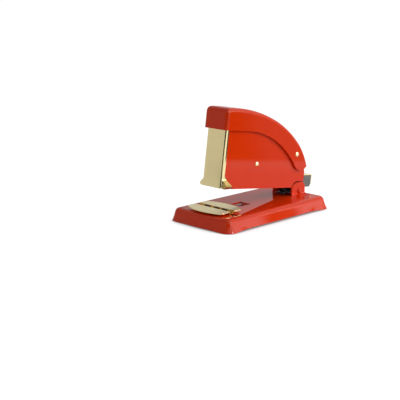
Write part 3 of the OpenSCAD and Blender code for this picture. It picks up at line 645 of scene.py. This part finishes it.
def form_cover(v):
    """Pushes a vertex of the straight channel to its place on the flared cover."""
    x, y, z = v
    side, tip, drop = (1, FAR_TIP, FAR_DROP) if y > 0 else (-1, NEAR_TIP, NEAR_DROP)
    start = COVER_X + COVER_R
    if x > start + 1e-4:
        share = ((x - start) / (COVER_REAR - start)) ** 1.5
        rear = COVER_REAR + max(0, FOLD_Z - z) / SLANT + WING_LAP * spread(z, FAR_DROP)
        x = start + share * (rear - start)
    if z < FOLD_Z:
        low = lower_edge(x)
        z = low + (z - FOOT_Z) / (FOLD_Z - FOOT_Z) * (FOLD_Z - low)
        d = x - COVER_X
        y += side * (flare(d, tip) * spread(z, drop) - tuck(x, z - low, tip)) * (d > 1e-4)
    return Vector((x, y, z))


print("flare at the tips:", NEAR_TIP, "and", FAR_TIP, "mm; at the rear:", WING_REAR, "mm")

# %% The front cover
def front_cover():
    bm = bmesh.new()
    top = EDGE_C.y + EDGE_R + 2.3
    start, in_y = COVER_X + COVER_R, COVER_HALF - COVER_R
    row = trace(bm, (COVER_REAR, -COVER_HALF), [
        (start, -COVER_HALF), ((start, -in_y), -90, 10),
        (COVER_X, in_y), ((start, in_y), -90, 10),
        (COVER_REAR, COVER_HALF),
    ], level=top, closed=False)
    flanks = [e for e in row if abs(e.verts[0].co.y - e.verts[1].co.y) < 1e-4 and e.calc_length() > 1]
    face = [e for e in row if e.calc_length() > 2 * in_y - 0.1]
    bmesh.ops.subdivide_edges(bm, edges=flanks, cuts=21)
    bmesh.ops.subdivide_edges(bm, edges=face, cuts=7)
    row = bm.edges[:]
    heights = [46, 38, 30, 24, FOLD_Z] + [FOLD_Z - (FOLD_Z - FOOT_Z) * k / 20 for k in range(1, 21)]
    z = top
    for height in heights:
        row = pull(bm, row, (0, 0, height - z))
        z = height
    for v in bm.verts:
        v.co = form_cover(v.co)
    bmesh.ops.recalc_face_normals(bm, faces=bm.faces[:])
    if sum(f.normal.x for f in bm.faces if abs(f.calc_center_median().y) < in_y) > 0:
        bmesh.ops.reverse_faces(bm, faces=bm.faces[:])
    cover = piece("front_cover_shell", bm, on_head, bright_brass, ["front_cover"],
        smooth=60, wall=COVER_T, edge=0.12, even=False)
    # The near wing's faces take the painted reflection coat.
    cover.data.materials.append(wing_painted_reflection)
    for polygon in cover.data.polygons:
        if polygon.center.y < -(COVER_HALF + PAINTED_REFLECTION_FROM) * MM:
            polygon.material_index = 1
    print("made", cover.name, "with", len(cover.data.polygons), "faces")


front_cover()

# %% [markdown]
# ## The anvil
# A bowed plate of plated steel lies on the base, with a trough pressed across it. In the trough are
# crimping pockets, which curl the staple's legs. The plate is drawn flat, sheared along the trough's
# bends, and the strip between them is pushed down. Each pocket is a patch cut fine enough to take a
# round hollow. The tabs at the trough's ends are pulled down from its edges through the base.

# %% Outline and trough of the anvil
ANVIL_X, ANVIL_W, ANVIL_L, ANVIL_T = -35.8, 31, 24.4, 0.9
ANVIL_TOP, ANVIL_BOW, ANVIL_ROUND = BASE_H + 2.2, 3.2, 1.6
TROUGH_LIP, TROUGH_FOOT = 2, 1.2
TROUGH_Z = BASE_H + 0.02 + ANVIL_T
TAB_HALF, TAB_FOOT = 1.8, 5.6
POCKETS_Y, POCKET_HALF, POCKET_R, POCKET_DEPTH = (-7.5, -0.7, 7.5), 2.6, 5.2, 0.75


def shear(bm, x=None, y=None):
    """Cuts every face along a line at x or at y."""
    point, normal = ((x, 0, 0), (1, 0, 0)) if y is None else ((0, y, 0), (0, 1, 0))
    bmesh.ops.bisect_plane(bm, geom=bm.verts[:] + bm.edges[:] + bm.faces[:], dist=1e-4,
        plane_co=point, plane_no=normal)


def anvil_plate():
    bm = bmesh.new()
    hw, hl, r = ANVIL_W / 2, ANVIL_L / 2, ANVIL_ROUND
    bow_r = (hw * hw + ANVIL_BOW * ANVIL_BOW) / (2 * ANVIL_BOW)
    swing = (hw - r) / bow_r
    swing = swing * 180 / pi * (1 + swing * swing / 6)
    end_x = hl - bow_r + bow_r * cos(radians(swing)) - 0.2
    rear, front = (hl - bow_r, 0), (bow_r - hl, 0)
    face = fill(bm, trace(bm, polar(Vector(rear), bow_r, -swing), [
        (rear, 2 * swing, 24),
        tuple(polar(Vector((end_x - r, hw - r)), r, 20)), (Vector((end_x - r, hw - r)), 70, 5),
        (r - end_x, hw), (Vector((r - end_x, hw - r)), 70, 5),
        tuple(polar(Vector(front), bow_r, 180 - swing)), (front, 2 * swing, 24),
        tuple(polar(Vector((r - end_x, r - hw)), r, 200)), (Vector((r - end_x, r - hw)), 70, 5),
        (end_x - r, -hw), (Vector((end_x - r, r - hw)), 70, 5),
    ], level=ANVIL_TOP))
    if face.normal.z < 0:
        bmesh.ops.reverse_faces(bm, faces=[face])
    bends = (-TROUGH_LIP, -TROUGH_LIP + 0.3, -TROUGH_FOOT, -TROUGH_FOOT + 0.25, 0,
        TROUGH_FOOT - 0.25, TROUGH_FOOT, TROUGH_LIP - 0.3, TROUGH_LIP)
    for x in bends:
        shear(bm, x=x)
    for pocket in POCKETS_Y:
        for k in range(-4, 5):
            shear(bm, y=pocket + POCKET_HALF * k / 4)
    for v in bm.verts:
        x = abs(v.co.x)
        if x < TROUGH_FOOT + 0.01:
            v.co.z = TROUGH_Z
        elif x < TROUGH_LIP - 0.29:
            v.co.z = ANVIL_TOP - 0.25
        if x < TROUGH_FOOT - 0.24:
            for pocket in POCKETS_Y:
                off = abs(v.co.y - pocket)
                if off < POCKET_HALF:
                    v.co.z -= max(0, (POCKET_R ** 2 - off ** 2) ** 0.5 - (POCKET_R - POCKET_DEPTH))
    for side in (-1, 1):
        ends = edges_at(bm, lambda c: abs(c.x) < TROUGH_FOOT + 0.01 and side * c.y > hw - 0.3)
        pull(bm, ends, (0, 0, TAB_FOOT - TROUGH_Z))
    bmesh.ops.translate(bm, verts=bm.verts[:], vec=(ANVIL_X, 0, 0))
    # Trough faces take the darker gold and pocket faces the near-brown, both painted shade.
    finishes = {}
    for f in bm.faces:
        middle = f.calc_center_median()
        if abs(middle.x - ANVIL_X) < TROUGH_LIP:
            hollow = min(abs(middle.y - pocket) for pocket in POCKETS_Y) < POCKET_HALF
            finishes[f.index] = 2 if hollow else 1
    plate = piece("anvil", bm, on_base, rolled_brass, ["anvil_plate"], wall=ANVIL_T, edge=0.15)
    plate.data.materials.append(trough_painted_shade)
    plate.data.materials.append(pocket_painted_shade)
    for index in finishes:
        plate.data.polygons[index].material_index = finishes[index]
    print("made", plate.name, "with", len(plate.data.polygons), "faces")


anvil_plate()

# %% [markdown]
# ## Turned pieces
# Rivets and the hinge pin come off a lathe or a header, so the natural tool is the full spin: half of
# the section is traced beside the axis and swept round once, with the last step merged to the first.
# The section begins and ends on the axis, and its two domes mirror each other.

# %% Rivets and pin
PIN_R, DOME_R, DOME_H = 1.2, 1.7, 0.8
FRAME_RIVET, PLATE_FACE = (-7.6, 29.5), 8.35
ball = (DOME_R ** 2 + DOME_H ** 2) / (2 * DOME_H)
dome_turn = 90 - 180 / pi * Vector((DOME_R, ball - DOME_H)).angle(Vector((1, 0)))


def rivet(name, at, half, place, material, node):
    """Rivet along Y with a dome on each face, standing half a width from the middle."""
    bm = bmesh.new()
    crown = half + DOME_H
    section = trace(bm, (0, crown), [
        ((0, crown - ball), -dome_turn, 8), (DOME_R, half - 0.02), (PIN_R, half - 0.02),
        (PIN_R, 0.02 - half), (DOME_R, 0.02 - half),
        tuple(polar(Vector((0, ball - crown)), ball, dome_turn - 90)),
        ((0, ball - crown), -dome_turn, 8),
    ], closed=False)
    bmesh.ops.spin(bm, geom=section, cent=(0, 0, 0), axis=(0, 0, 1), angle=2 * pi, steps=32,
        use_merge=True)
    bmesh.ops.remove_doubles(bm, verts=bm.verts[:], dist=1e-3)
    bmesh.ops.recalc_face_normals(bm, faces=bm.faces[:])
    turn = Matrix.Translation((at[0], 0, at[1])) @ Matrix.Rotation(pi / 2, 4, "X")
    piece(name, bm, place @ turn, material, [node], smooth=45)
    print("made", name)


rivet("frame_rivet_turned", FRAME_RIVET, PLATE_FACE, on_head, bright_brass, "frame_rivet")
rivet("handle_rivet_turned", PIVOT, HANDLE_W / 2, on_head, bright_brass, "pivot_rivet")
rivet("hinge_pin_turned", (PIN_X, PIN_Z), EAR_Y + 0.5, on_base, red_enamel, "hinge_pin")

# %% [markdown]
# ## Springs
# A coil spring is a circle of wire carried round an axis while it climbs, and spin does just that
# when it is given a step along the axis. The springs behind the handle and the pusher get shorter
# with their joints. They are squashed evenly, so the wire flattens too, which real wire doesn't do.
# The hinge spring is cut in two: its coil and low leg stay with the base, and its upper leg turns
# with the head. The real coil would wind up instead, so the two meet only roughly as the head closes.

# %% Coils
def coil(bm, radius, wire, turns, length, sides=8, per_turn=16):
    """Coil of round wire along Z from the origin."""
    steps = round(turns * per_turn)
    end = bmesh.ops.create_circle(bm, cap_ends=True, segments=sides, radius=wire,
        matrix=Matrix.Translation((radius, 0, wire)) @ Matrix.Rotation(pi / 2, 4, "X"))["verts"]
    edges = list({e for v in end for e in v.link_edges})
    climb = (length - 2 * wire) / steps
    made = bmesh.ops.spin(bm, geom=edges, cent=(0, 0, 0), axis=(0, 0, 1), angle=2 * pi * turns,
        steps=steps, dvec=(0, 0, climb), use_merge=False)
    last = [g for g in made["geom_last"] if isinstance(g, bmesh.types.BMEdge)]
    bmesh.ops.contextual_create(bm, geom=last)
    bmesh.ops.recalc_face_normals(bm, faces=bm.faces[:])


def leg(bm, length, wire, matrix):
    """Straight end of a spring's wire."""
    bmesh.ops.create_cone(bm, cap_ends=True, segments=8, radius1=wire, radius2=wire, depth=length,
        matrix=matrix @ Matrix.Translation((0, 0, length / 2)))


print("coil ready")

# %% The three springs
SPRING_SEAT = Vector((-7.6, 33.5))
SPRING_TOP = 57
HINGE_COIL_R, HINGE_WIRE, HINGE_COIL_L = 2.2, 0.4, 4.4
HANDLE_COIL_R, HANDLE_WIRE, HANDLE_KEEP = 3.7, 0.5, 0.62
HINGE_ARM, HINGE_FOOT = 15, 5.5
ROD_Z, ROD_REAR, PUSHER_TRAVEL = 17.4, 39.49, 24


def handle_spring():
    bm = bmesh.new()
    coil(bm, HANDLE_COIL_R, HANDLE_WIRE, 8, SPRING_TOP - SPRING_SEAT.y - 0.02)
    place = on_head @ Matrix.Translation((SPRING_SEAT.x, 0, SPRING_SEAT.y + 0.01))
    spring = piece("handle_spring_coil", bm, place, spring_wire, ["handle_spring"])
    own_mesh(spring)
    print("made", spring.name)


def hinge_spring():
    bm = bmesh.new()
    half = HINGE_COIL_L / 2
    coil(bm, HINGE_COIL_R, HINGE_WIRE, 5, HINGE_COIL_L)
    bmesh.ops.rotate(bm, verts=bm.verts[:], cent=(0, 0, 0), matrix=Matrix.Rotation(pi / 2, 3, "X"))
    bmesh.ops.translate(bm, verts=bm.verts[:], vec=(PIN_X, half, PIN_Z))
    pivot = Matrix.Translation((PIN_X, 0, PIN_Z))
    along = Matrix.Rotation(-pi / 2, 4, "Y")
    high = Matrix.Rotation(HEAD_TILT, 4, "Y") @ Matrix.Translation((0, HINGE_WIRE - half, HINGE_COIL_R))
    low = Matrix.Rotation(radians(4), 4, "Y") @ Matrix.Translation((0, half - HINGE_WIRE, -HINGE_COIL_R))
    leg(bm, HINGE_FOOT, HINGE_WIRE, pivot @ low @ along)
    # The hinge spring takes the near-black steel, as painted shade in the gap.
    spring = piece("hinge_spring_coil", bm, on_base, painted_shade_steel, ["hinge_spring"])
    bm = bmesh.new()
    leg(bm, HINGE_ARM, HINGE_WIRE, pivot @ high @ along)
    arm = piece("hinge_spring_arm", bm, on_base, painted_shade_steel, [], body="head")
    print("made", spring.name, arm.name)


def pusher_spring():
    low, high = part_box("pusher_spring")
    length = (high.x - low.x) / cos(HEAD_TILT) / MM
    bm = bmesh.new()
    coil(bm, 1.5, 0.22, 18, length - 0.5, sides=6, per_turn=12)
    front = ROD_REAR - length + 0.3
    place = on_head @ Matrix.Translation((front, 0, ROD_Z)) @ Matrix.Rotation(pi / 2, 4, "Y")
    spring = piece("pusher_spring_coil", bm, place, spring_wire, ["pusher_spring"])
    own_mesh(spring)
    print("made", spring.name, "in mm", round(length, 1))


handle_spring()
hinge_spring()
pusher_spring()

# %% [markdown]
# ## Staples
# A strip of staples is a row of flat wires, glued side by side. One is drawn as a bent wire with
# rounded shoulders, then copied along the strip. The seams between them catch the light as fine lines.

# %% The strip of staples
STAPLE_W, STAPLE_H, STAPLE_WIRE, STAPLE_Z = 12.8, 6.4, 0.5, 14.45
STRIP_X, STRIP_L = -35.2, 26
SHOULDER = 0.45


def staple_strip():
    bm = bmesh.new()
    hw, inner = STAPLE_W / 2, STAPLE_W / 2 - STAPLE_WIRE
    top, under = STAPLE_Z + STAPLE_H, STAPLE_Z + STAPLE_H - STAPLE_WIRE
    bend = top - SHOULDER
    wire = fill(bm, trace(bm, (hw, STAPLE_Z), [
        (hw, bend), (Vector((hw - SHOULDER, bend)), 90, 4),
        (SHOULDER - hw, top), (Vector((SHOULDER - hw, bend)), 90, 4),
        (-hw, STAPLE_Z), (-inner, STAPLE_Z), (-inner, under), (inner, under), (inner, STAPLE_Z),
    ]))
    stretch(bm, wire, 0.02, STAPLE_WIRE - 0.02)
    bmesh.ops.rotate(bm, verts=bm.verts[:], cent=(0, 0, 0), matrix=Matrix.Rotation(-pi / 2, 3, "Z"))
    first = bm.verts[:] + bm.edges[:] + bm.faces[:]
    count = round(STRIP_L / STAPLE_WIRE)
    for k in range(1, count):
        copy = bmesh.ops.duplicate(bm, geom=first)
        bmesh.ops.translate(bm, verts=new_of(copy, bmesh.types.BMVert), vec=(k * STAPLE_WIRE, 0, 0))
    bmesh.ops.translate(bm, verts=bm.verts[:], vec=(STRIP_X, 0, 0))
    piece("staples", bm, on_head, staple_wire, ["staple_strip"])
    print("made", count, "staples")


staple_strip()

# %% [markdown]
# ## Parts that keep the model's own shape
# Side plates, channel, rail and the small hidden steel parts are already drawn right. They only lack
# the softened edges of real stampings. A copy of each mesh is merged, its flat faces are joined again,
# and a small bevel eases the sharp edges.

# %% Eased copies
def ease(node, material, slot, width, smooth=35):
    """Copy of a CAD node with its edges eased by width in mm."""
    bm = bmesh.new()
    bm.from_mesh(frame["nodes"][node].data)
    bmesh.ops.remove_doubles(bm, verts=bm.verts[:], dist=2e-3 * MM)
    bmesh.ops.dissolve_limit(bm, angle_limit=radians(1), verts=bm.verts[:], edges=bm.edges[:])
    return piece(f"{node}_finished", bm, Matrix(), material, [node], smooth=smooth, edge=width)


for node in ("left_side_plate", "right_side_plate"):
    ease(node, red_enamel, "red_enamel", 0.15)
# These parts round the hinge take the near-black steel, as painted shade.
for node in ("magazine_channel", "hinge_bush", "spring_seat", "frame_spacer", "pivot_spacer"):
    ease(node, painted_shade_steel, "zinc_steel", 0.1)
for node in ("staple_rail", "driver_guide", "driver_blade", "driver_hanger", "spring_cup",
        "staple_pusher", "anvil_keeper", "pusher_rod"):
    ease(node, zinc_plate, "zinc_steel", 0.1)
for node in ("anvil_spring", "rod_clip"):
    ease(node, spring_wire, "spring_steel", 0.08)
ease("pull_tab", grip_zinc, "zinc_steel", 0.3)
ease("tab_trim", bright_brass, "brass_plate", 0.25)
ease("rubber_feet", foot_rubber, "foot_rubber", 0.35)

# %% [markdown]
# ## The camera
# A long lens from the front left and a little above gives the calm, slightly flattened view of a
# catalogue picture.

# %% Camera
camera_data = bpy.data.cameras.new("camera")
camera = bpy.data.objects.new("camera", camera_data)
bpy.context.scene.collection.objects.link(camera)
bpy.context.scene.camera = camera
SENSOR, LENS = 36, 88.47
camera_data.sensor_width = SENSOR
camera_data.lens = LENS
camera_data.clip_start = 0.05
camera_data.clip_end = 30
HEADING, PITCH = radians(45.12), radians(13.41)
FROM_PIN = Vector((-513.9, -428.1, 150.9))
camera.location = pin + FROM_PIN * MM
look = Vector((cos(HEADING) * cos(PITCH), sin(HEADING) * cos(PITCH), -sin(PITCH)))
camera.rotation_mode = "QUATERNION"
camera.rotation_quaternion = look.to_track_quat("-Z", "Y")
print("camera at", [round(v, 3) for v in camera.location])

# %% [markdown]
# ## The studio
# The stapler stands on a sweep of white paper that is wider than the picture. Enamel and brass are
# shiny, so what they show is the room. The floor's material draws the sheet that they mirror: bright
# paper with an edge on the right, a darker table beyond it, and a dim stretch towards the camera. To
# the camera the floor is plain white, and keeps only the object's soft shadow. The levels are chosen
# by comparing colours, for the one view above, and not taken from a real room.

# %% Floor
PAPER_HALF, PAPER_BLUR = 0.194, 0.01
PAPER, TABLE = "#F4F4F2", "#5A5A5A"
FLOOR_SIZE = 60
CONTACT = 0.011
TABLE_LEVELS = ((-0.12, 1), (-0.05, 0.05), (-0.015, 0.05), (0.02, 0.42), (0.4, 0.5))
PAPER_LEVELS = ((-0.2, 1.25), (-0.13, 0.88), (0.1, 0.58))
FRONT_REACH, SIDE_REACH = ((-0.5, 1), (-0.35, 0)), ((-0.3, 0), (-0.1, 1))
DIM = 0.04
SHADOW_LEVELS = ((0.45, 0.16), (0.92, 0.92))
SEEN = 0.3


def stops(tree, value, *pairs):
    """Smooth curve through (value, result) pairs."""
    result = None
    for (v0, r0), (v1, r1) in zip(pairs, pairs[1:]):
        if result is None:
            result = add(tree, "ShaderNodeMapRange", {"Value": value}, {"From Min": v0, "From Max": v1,
                "To Min": r0, "To Max": r1}, interpolation_type="SMOOTHSTEP").outputs["Result"]
        else:
            rise = add(tree, "ShaderNodeMapRange", {"Value": value}, {"From Min": v0, "From Max": v1,
                "To Min": 0, "To Max": r1 - r0}, interpolation_type="SMOOTHSTEP").outputs["Result"]
            result = add(tree, "ShaderNodeMath", {0: result, 1: rise}).outputs["Value"]
    return result


def floor_material():
    material = bpy.data.materials.new("white_paper_sweep")
    material.use_nodes = True
    tree = material.node_tree
    tree.nodes.clear()
    place = add(tree, "ShaderNodeTexCoord").outputs["Object"]
    turned = add(tree, "ShaderNodeMapping", {"Vector": place})
    turned.inputs["Rotation"].default_value = (0, 0, -HEADING)
    axes = add(tree, "ShaderNodeSeparateXYZ", {"Vector": turned.outputs["Vector"]})
    along, across = axes.outputs["X"], axes.outputs["Y"]
    paper = stops(tree, across, (-PAPER_HALF - PAPER_BLUR, 0), (-PAPER_HALF + PAPER_BLUR, 1))
    table_level = stops(tree, along, *TABLE_LEVELS)
    paper_level = stops(tree, across, *PAPER_LEVELS)
    shine = add(tree, "ShaderNodeMix", {"Factor": paper, "A": table_level, "B": paper_level})
    front = stops(tree, along, *FRONT_REACH)
    middle = stops(tree, across, *SIDE_REACH)
    dim = add(tree, "ShaderNodeMath", {0: front, 1: middle}, operation="MULTIPLY")
    shine = add(tree, "ShaderNodeMix", {"Factor": dim.outputs[0], "A": shine.outputs[0]}, {"B": DIM})
    tone = add(tree, "ShaderNodeMix", {"Factor": paper}, data_type="RGBA")
    tone.inputs[6].default_value = linear(TABLE)
    tone.inputs[7].default_value = linear(PAPER)
    sheet = add(tree, "ShaderNodeBsdfDiffuse", {"Color": tone.outputs[2]})
    mirrored = add(tree, "ShaderNodeEmission", {"Strength": shine.outputs[0]})
    near = add(tree, "ShaderNodeAmbientOcclusion", values={"Distance": CONTACT}, samples=16)
    glow = stops(tree, near.outputs["AO"], *SHADOW_LEVELS)
    seen = add(tree, "ShaderNodeBsdfDiffuse", values={"Color": (SEEN, SEEN, SEEN, 1)})
    lit = add(tree, "ShaderNodeAddShader", {0: seen.outputs[0],
        1: add(tree, "ShaderNodeEmission", {"Strength": glow}).outputs[0]})
    light = add(tree, "ShaderNodeLightPath").outputs
    shiny = add(tree, "ShaderNodeMath", {0: light["Is Glossy Ray"], 1: light["Is Transmission Ray"]},
        operation="MAXIMUM").outputs[0]
    inner = add(tree, "ShaderNodeMixShader", {0: shiny, 1: sheet.outputs[0], 2: mirrored.outputs[0]})
    both = add(tree, "ShaderNodeMixShader",
        {0: light["Is Camera Ray"], 1: inner.outputs[0], 2: lit.outputs[0]})
    add(tree, "ShaderNodeOutputMaterial", {"Surface": both.outputs[0]})
    return material


bm = bmesh.new()
bmesh.ops.create_grid(bm, x_segments=1, y_segments=1, size=FLOOR_SIZE / 2)
floor_mesh = bpy.data.meshes.new("floor")
bm.to_mesh(floor_mesh)
bm.free()
floor_mesh.materials.append(floor_material())
floor = bpy.data.objects.new("floor", floor_mesh)
bpy.context.scene.collection.objects.link(floor)
print("floor", FLOOR_SIZE, "m wide")

# %% [markdown]
# The world draws the rest of the room by compass turn, in degrees, and by height. Low down, the side
# where the camera stands is nearly black, and a bright panel with a brighter rim begins beside it. A
# narrow dark gap lies near the panel's far end. Higher up the room changes slowly, and one small spark
# is there for the rounded corners. To the camera the world is white, and to soft bounced light it is
# an even grey. All levels are chosen for the view, like the floor's.

# %% World
AROUND = 0.352
LOW_WALL = ((-178, 0.58), (-160, 0.03), (-105, 0.03), (-103, 5), (-97, 2.8), (-38.6, 2.8),
    (-33, 0.9), (20, 0.6), (60, 0.56), (130, 0.58))
HIGH_WALL = ((-160, 0.48), (-110, 1.9), (-40, 1.9), (-20, 1.1), (20, 1), (50, 0.6), (130, 0.48))
GAP_TURN, GAP_RISE = ((-43.2, 0), (-42.6, 1), (-41.2, 1), (-40.6, 0)), ((0.14, 0.94), (0.19, 0))
BLEND_RISE = ((0.26, 0), (0.42, 1))
SPARK_TO, SPARK = (0.21, -0.86, 0.46), ((0.985, 0), (0.993, 20))
scene = bpy.context.scene
scene.view_settings.view_transform = "Standard"
world = bpy.data.worlds.new("studio")
scene.world = world
world.use_nodes = True
tree = world.node_tree
tree.nodes.clear()
direction = add(tree, "ShaderNodeTexCoord").outputs["Generated"]
compass = add(tree, "ShaderNodeSeparateXYZ", {"Vector": direction})
turn = add(tree, "ShaderNodeMath", {0: compass.outputs["Y"], 1: compass.outputs["X"]}, operation="ARCTAN2")
turn = add(tree, "ShaderNodeMath", {0: turn.outputs["Value"]}, operation="DEGREES").outputs["Value"]
rise = compass.outputs["Z"]
low_wall = stops(tree, turn, *LOW_WALL)
high_wall = stops(tree, turn, *HIGH_WALL)
gap = stops(tree, turn, *GAP_TURN)
gap_height = stops(tree, rise, *GAP_RISE)
gap = add(tree, "ShaderNodeMath", {0: gap, 1: gap_height}, operation="MULTIPLY").outputs["Value"]
low_wall = add(tree, "ShaderNodeMix", {"Factor": gap, "A": low_wall}, {"B": 0}).outputs["Result"]
height = stops(tree, rise, *BLEND_RISE)
wall = add(tree, "ShaderNodeMix", {"Factor": height, "A": low_wall, "B": high_wall}).outputs["Result"]
bulb = add(tree, "ShaderNodeVectorMath", {0: direction}, {1: SPARK_TO}, operation="DOT_PRODUCT")
spark = stops(tree, bulb.outputs["Value"], *SPARK)
wall = add(tree, "ShaderNodeMath", {0: wall, 1: spark}, operation="MAXIMUM").outputs["Value"]
light = add(tree, "ShaderNodeLightPath").outputs
shiny = add(tree, "ShaderNodeMath", {0: light["Is Glossy Ray"], 1: light["Is Transmission Ray"]},
    operation="MAXIMUM").outputs["Value"]
room = add(tree, "ShaderNodeMix", {"Factor": shiny, "B": wall}, {"A": AROUND}).outputs["Result"]
level = add(tree, "ShaderNodeMix", {"Factor": light["Is Camera Ray"], "A": room}, {"B": 1}).outputs["Result"]
background = add(tree, "ShaderNodeBackground", {"Strength": level}, {"Color": (1, 1, 1, 1)})
add(tree, "ShaderNodeOutputWorld", {"Surface": background.outputs[0]})
print("world set")

# %% [markdown]
# One large soft box stands low at the right of the camera, so the long side of the stapler is bright,
# its top is half lit and its narrow front lies in soft shade. It gives light only. Reflections don't
# show it, because the bright panel that shiny pieces mirror is the one drawn in the world.

# %% Soft box
AIM_Z = 0.035


def soft_box(name, turn, elevation, away, width, height, power):
    """Area lamp that faces the object from a compass turn and an elevation in degrees."""
    data = bpy.data.lights.new(name, "AREA")
    data.shape = "RECTANGLE"
    data.size, data.size_y = width, height
    data.energy = power
    made = bpy.data.objects.new(name, data)
    scene.collection.objects.link(made)
    aim = Vector((0, 0, AIM_Z))
    t, e = radians(turn), radians(elevation)
    made.location = aim + away * Vector((cos(t) * cos(e), sin(t) * cos(e), sin(e)))
    made.rotation_mode = "QUATERNION"
    made.rotation_quaternion = (aim - made.location).to_track_quat("-Z", "Y")
    made.visible_glossy = False
    return made


soft_box("key_box", -45, 23, 1.5, 1.3, 0.8, 15.9)
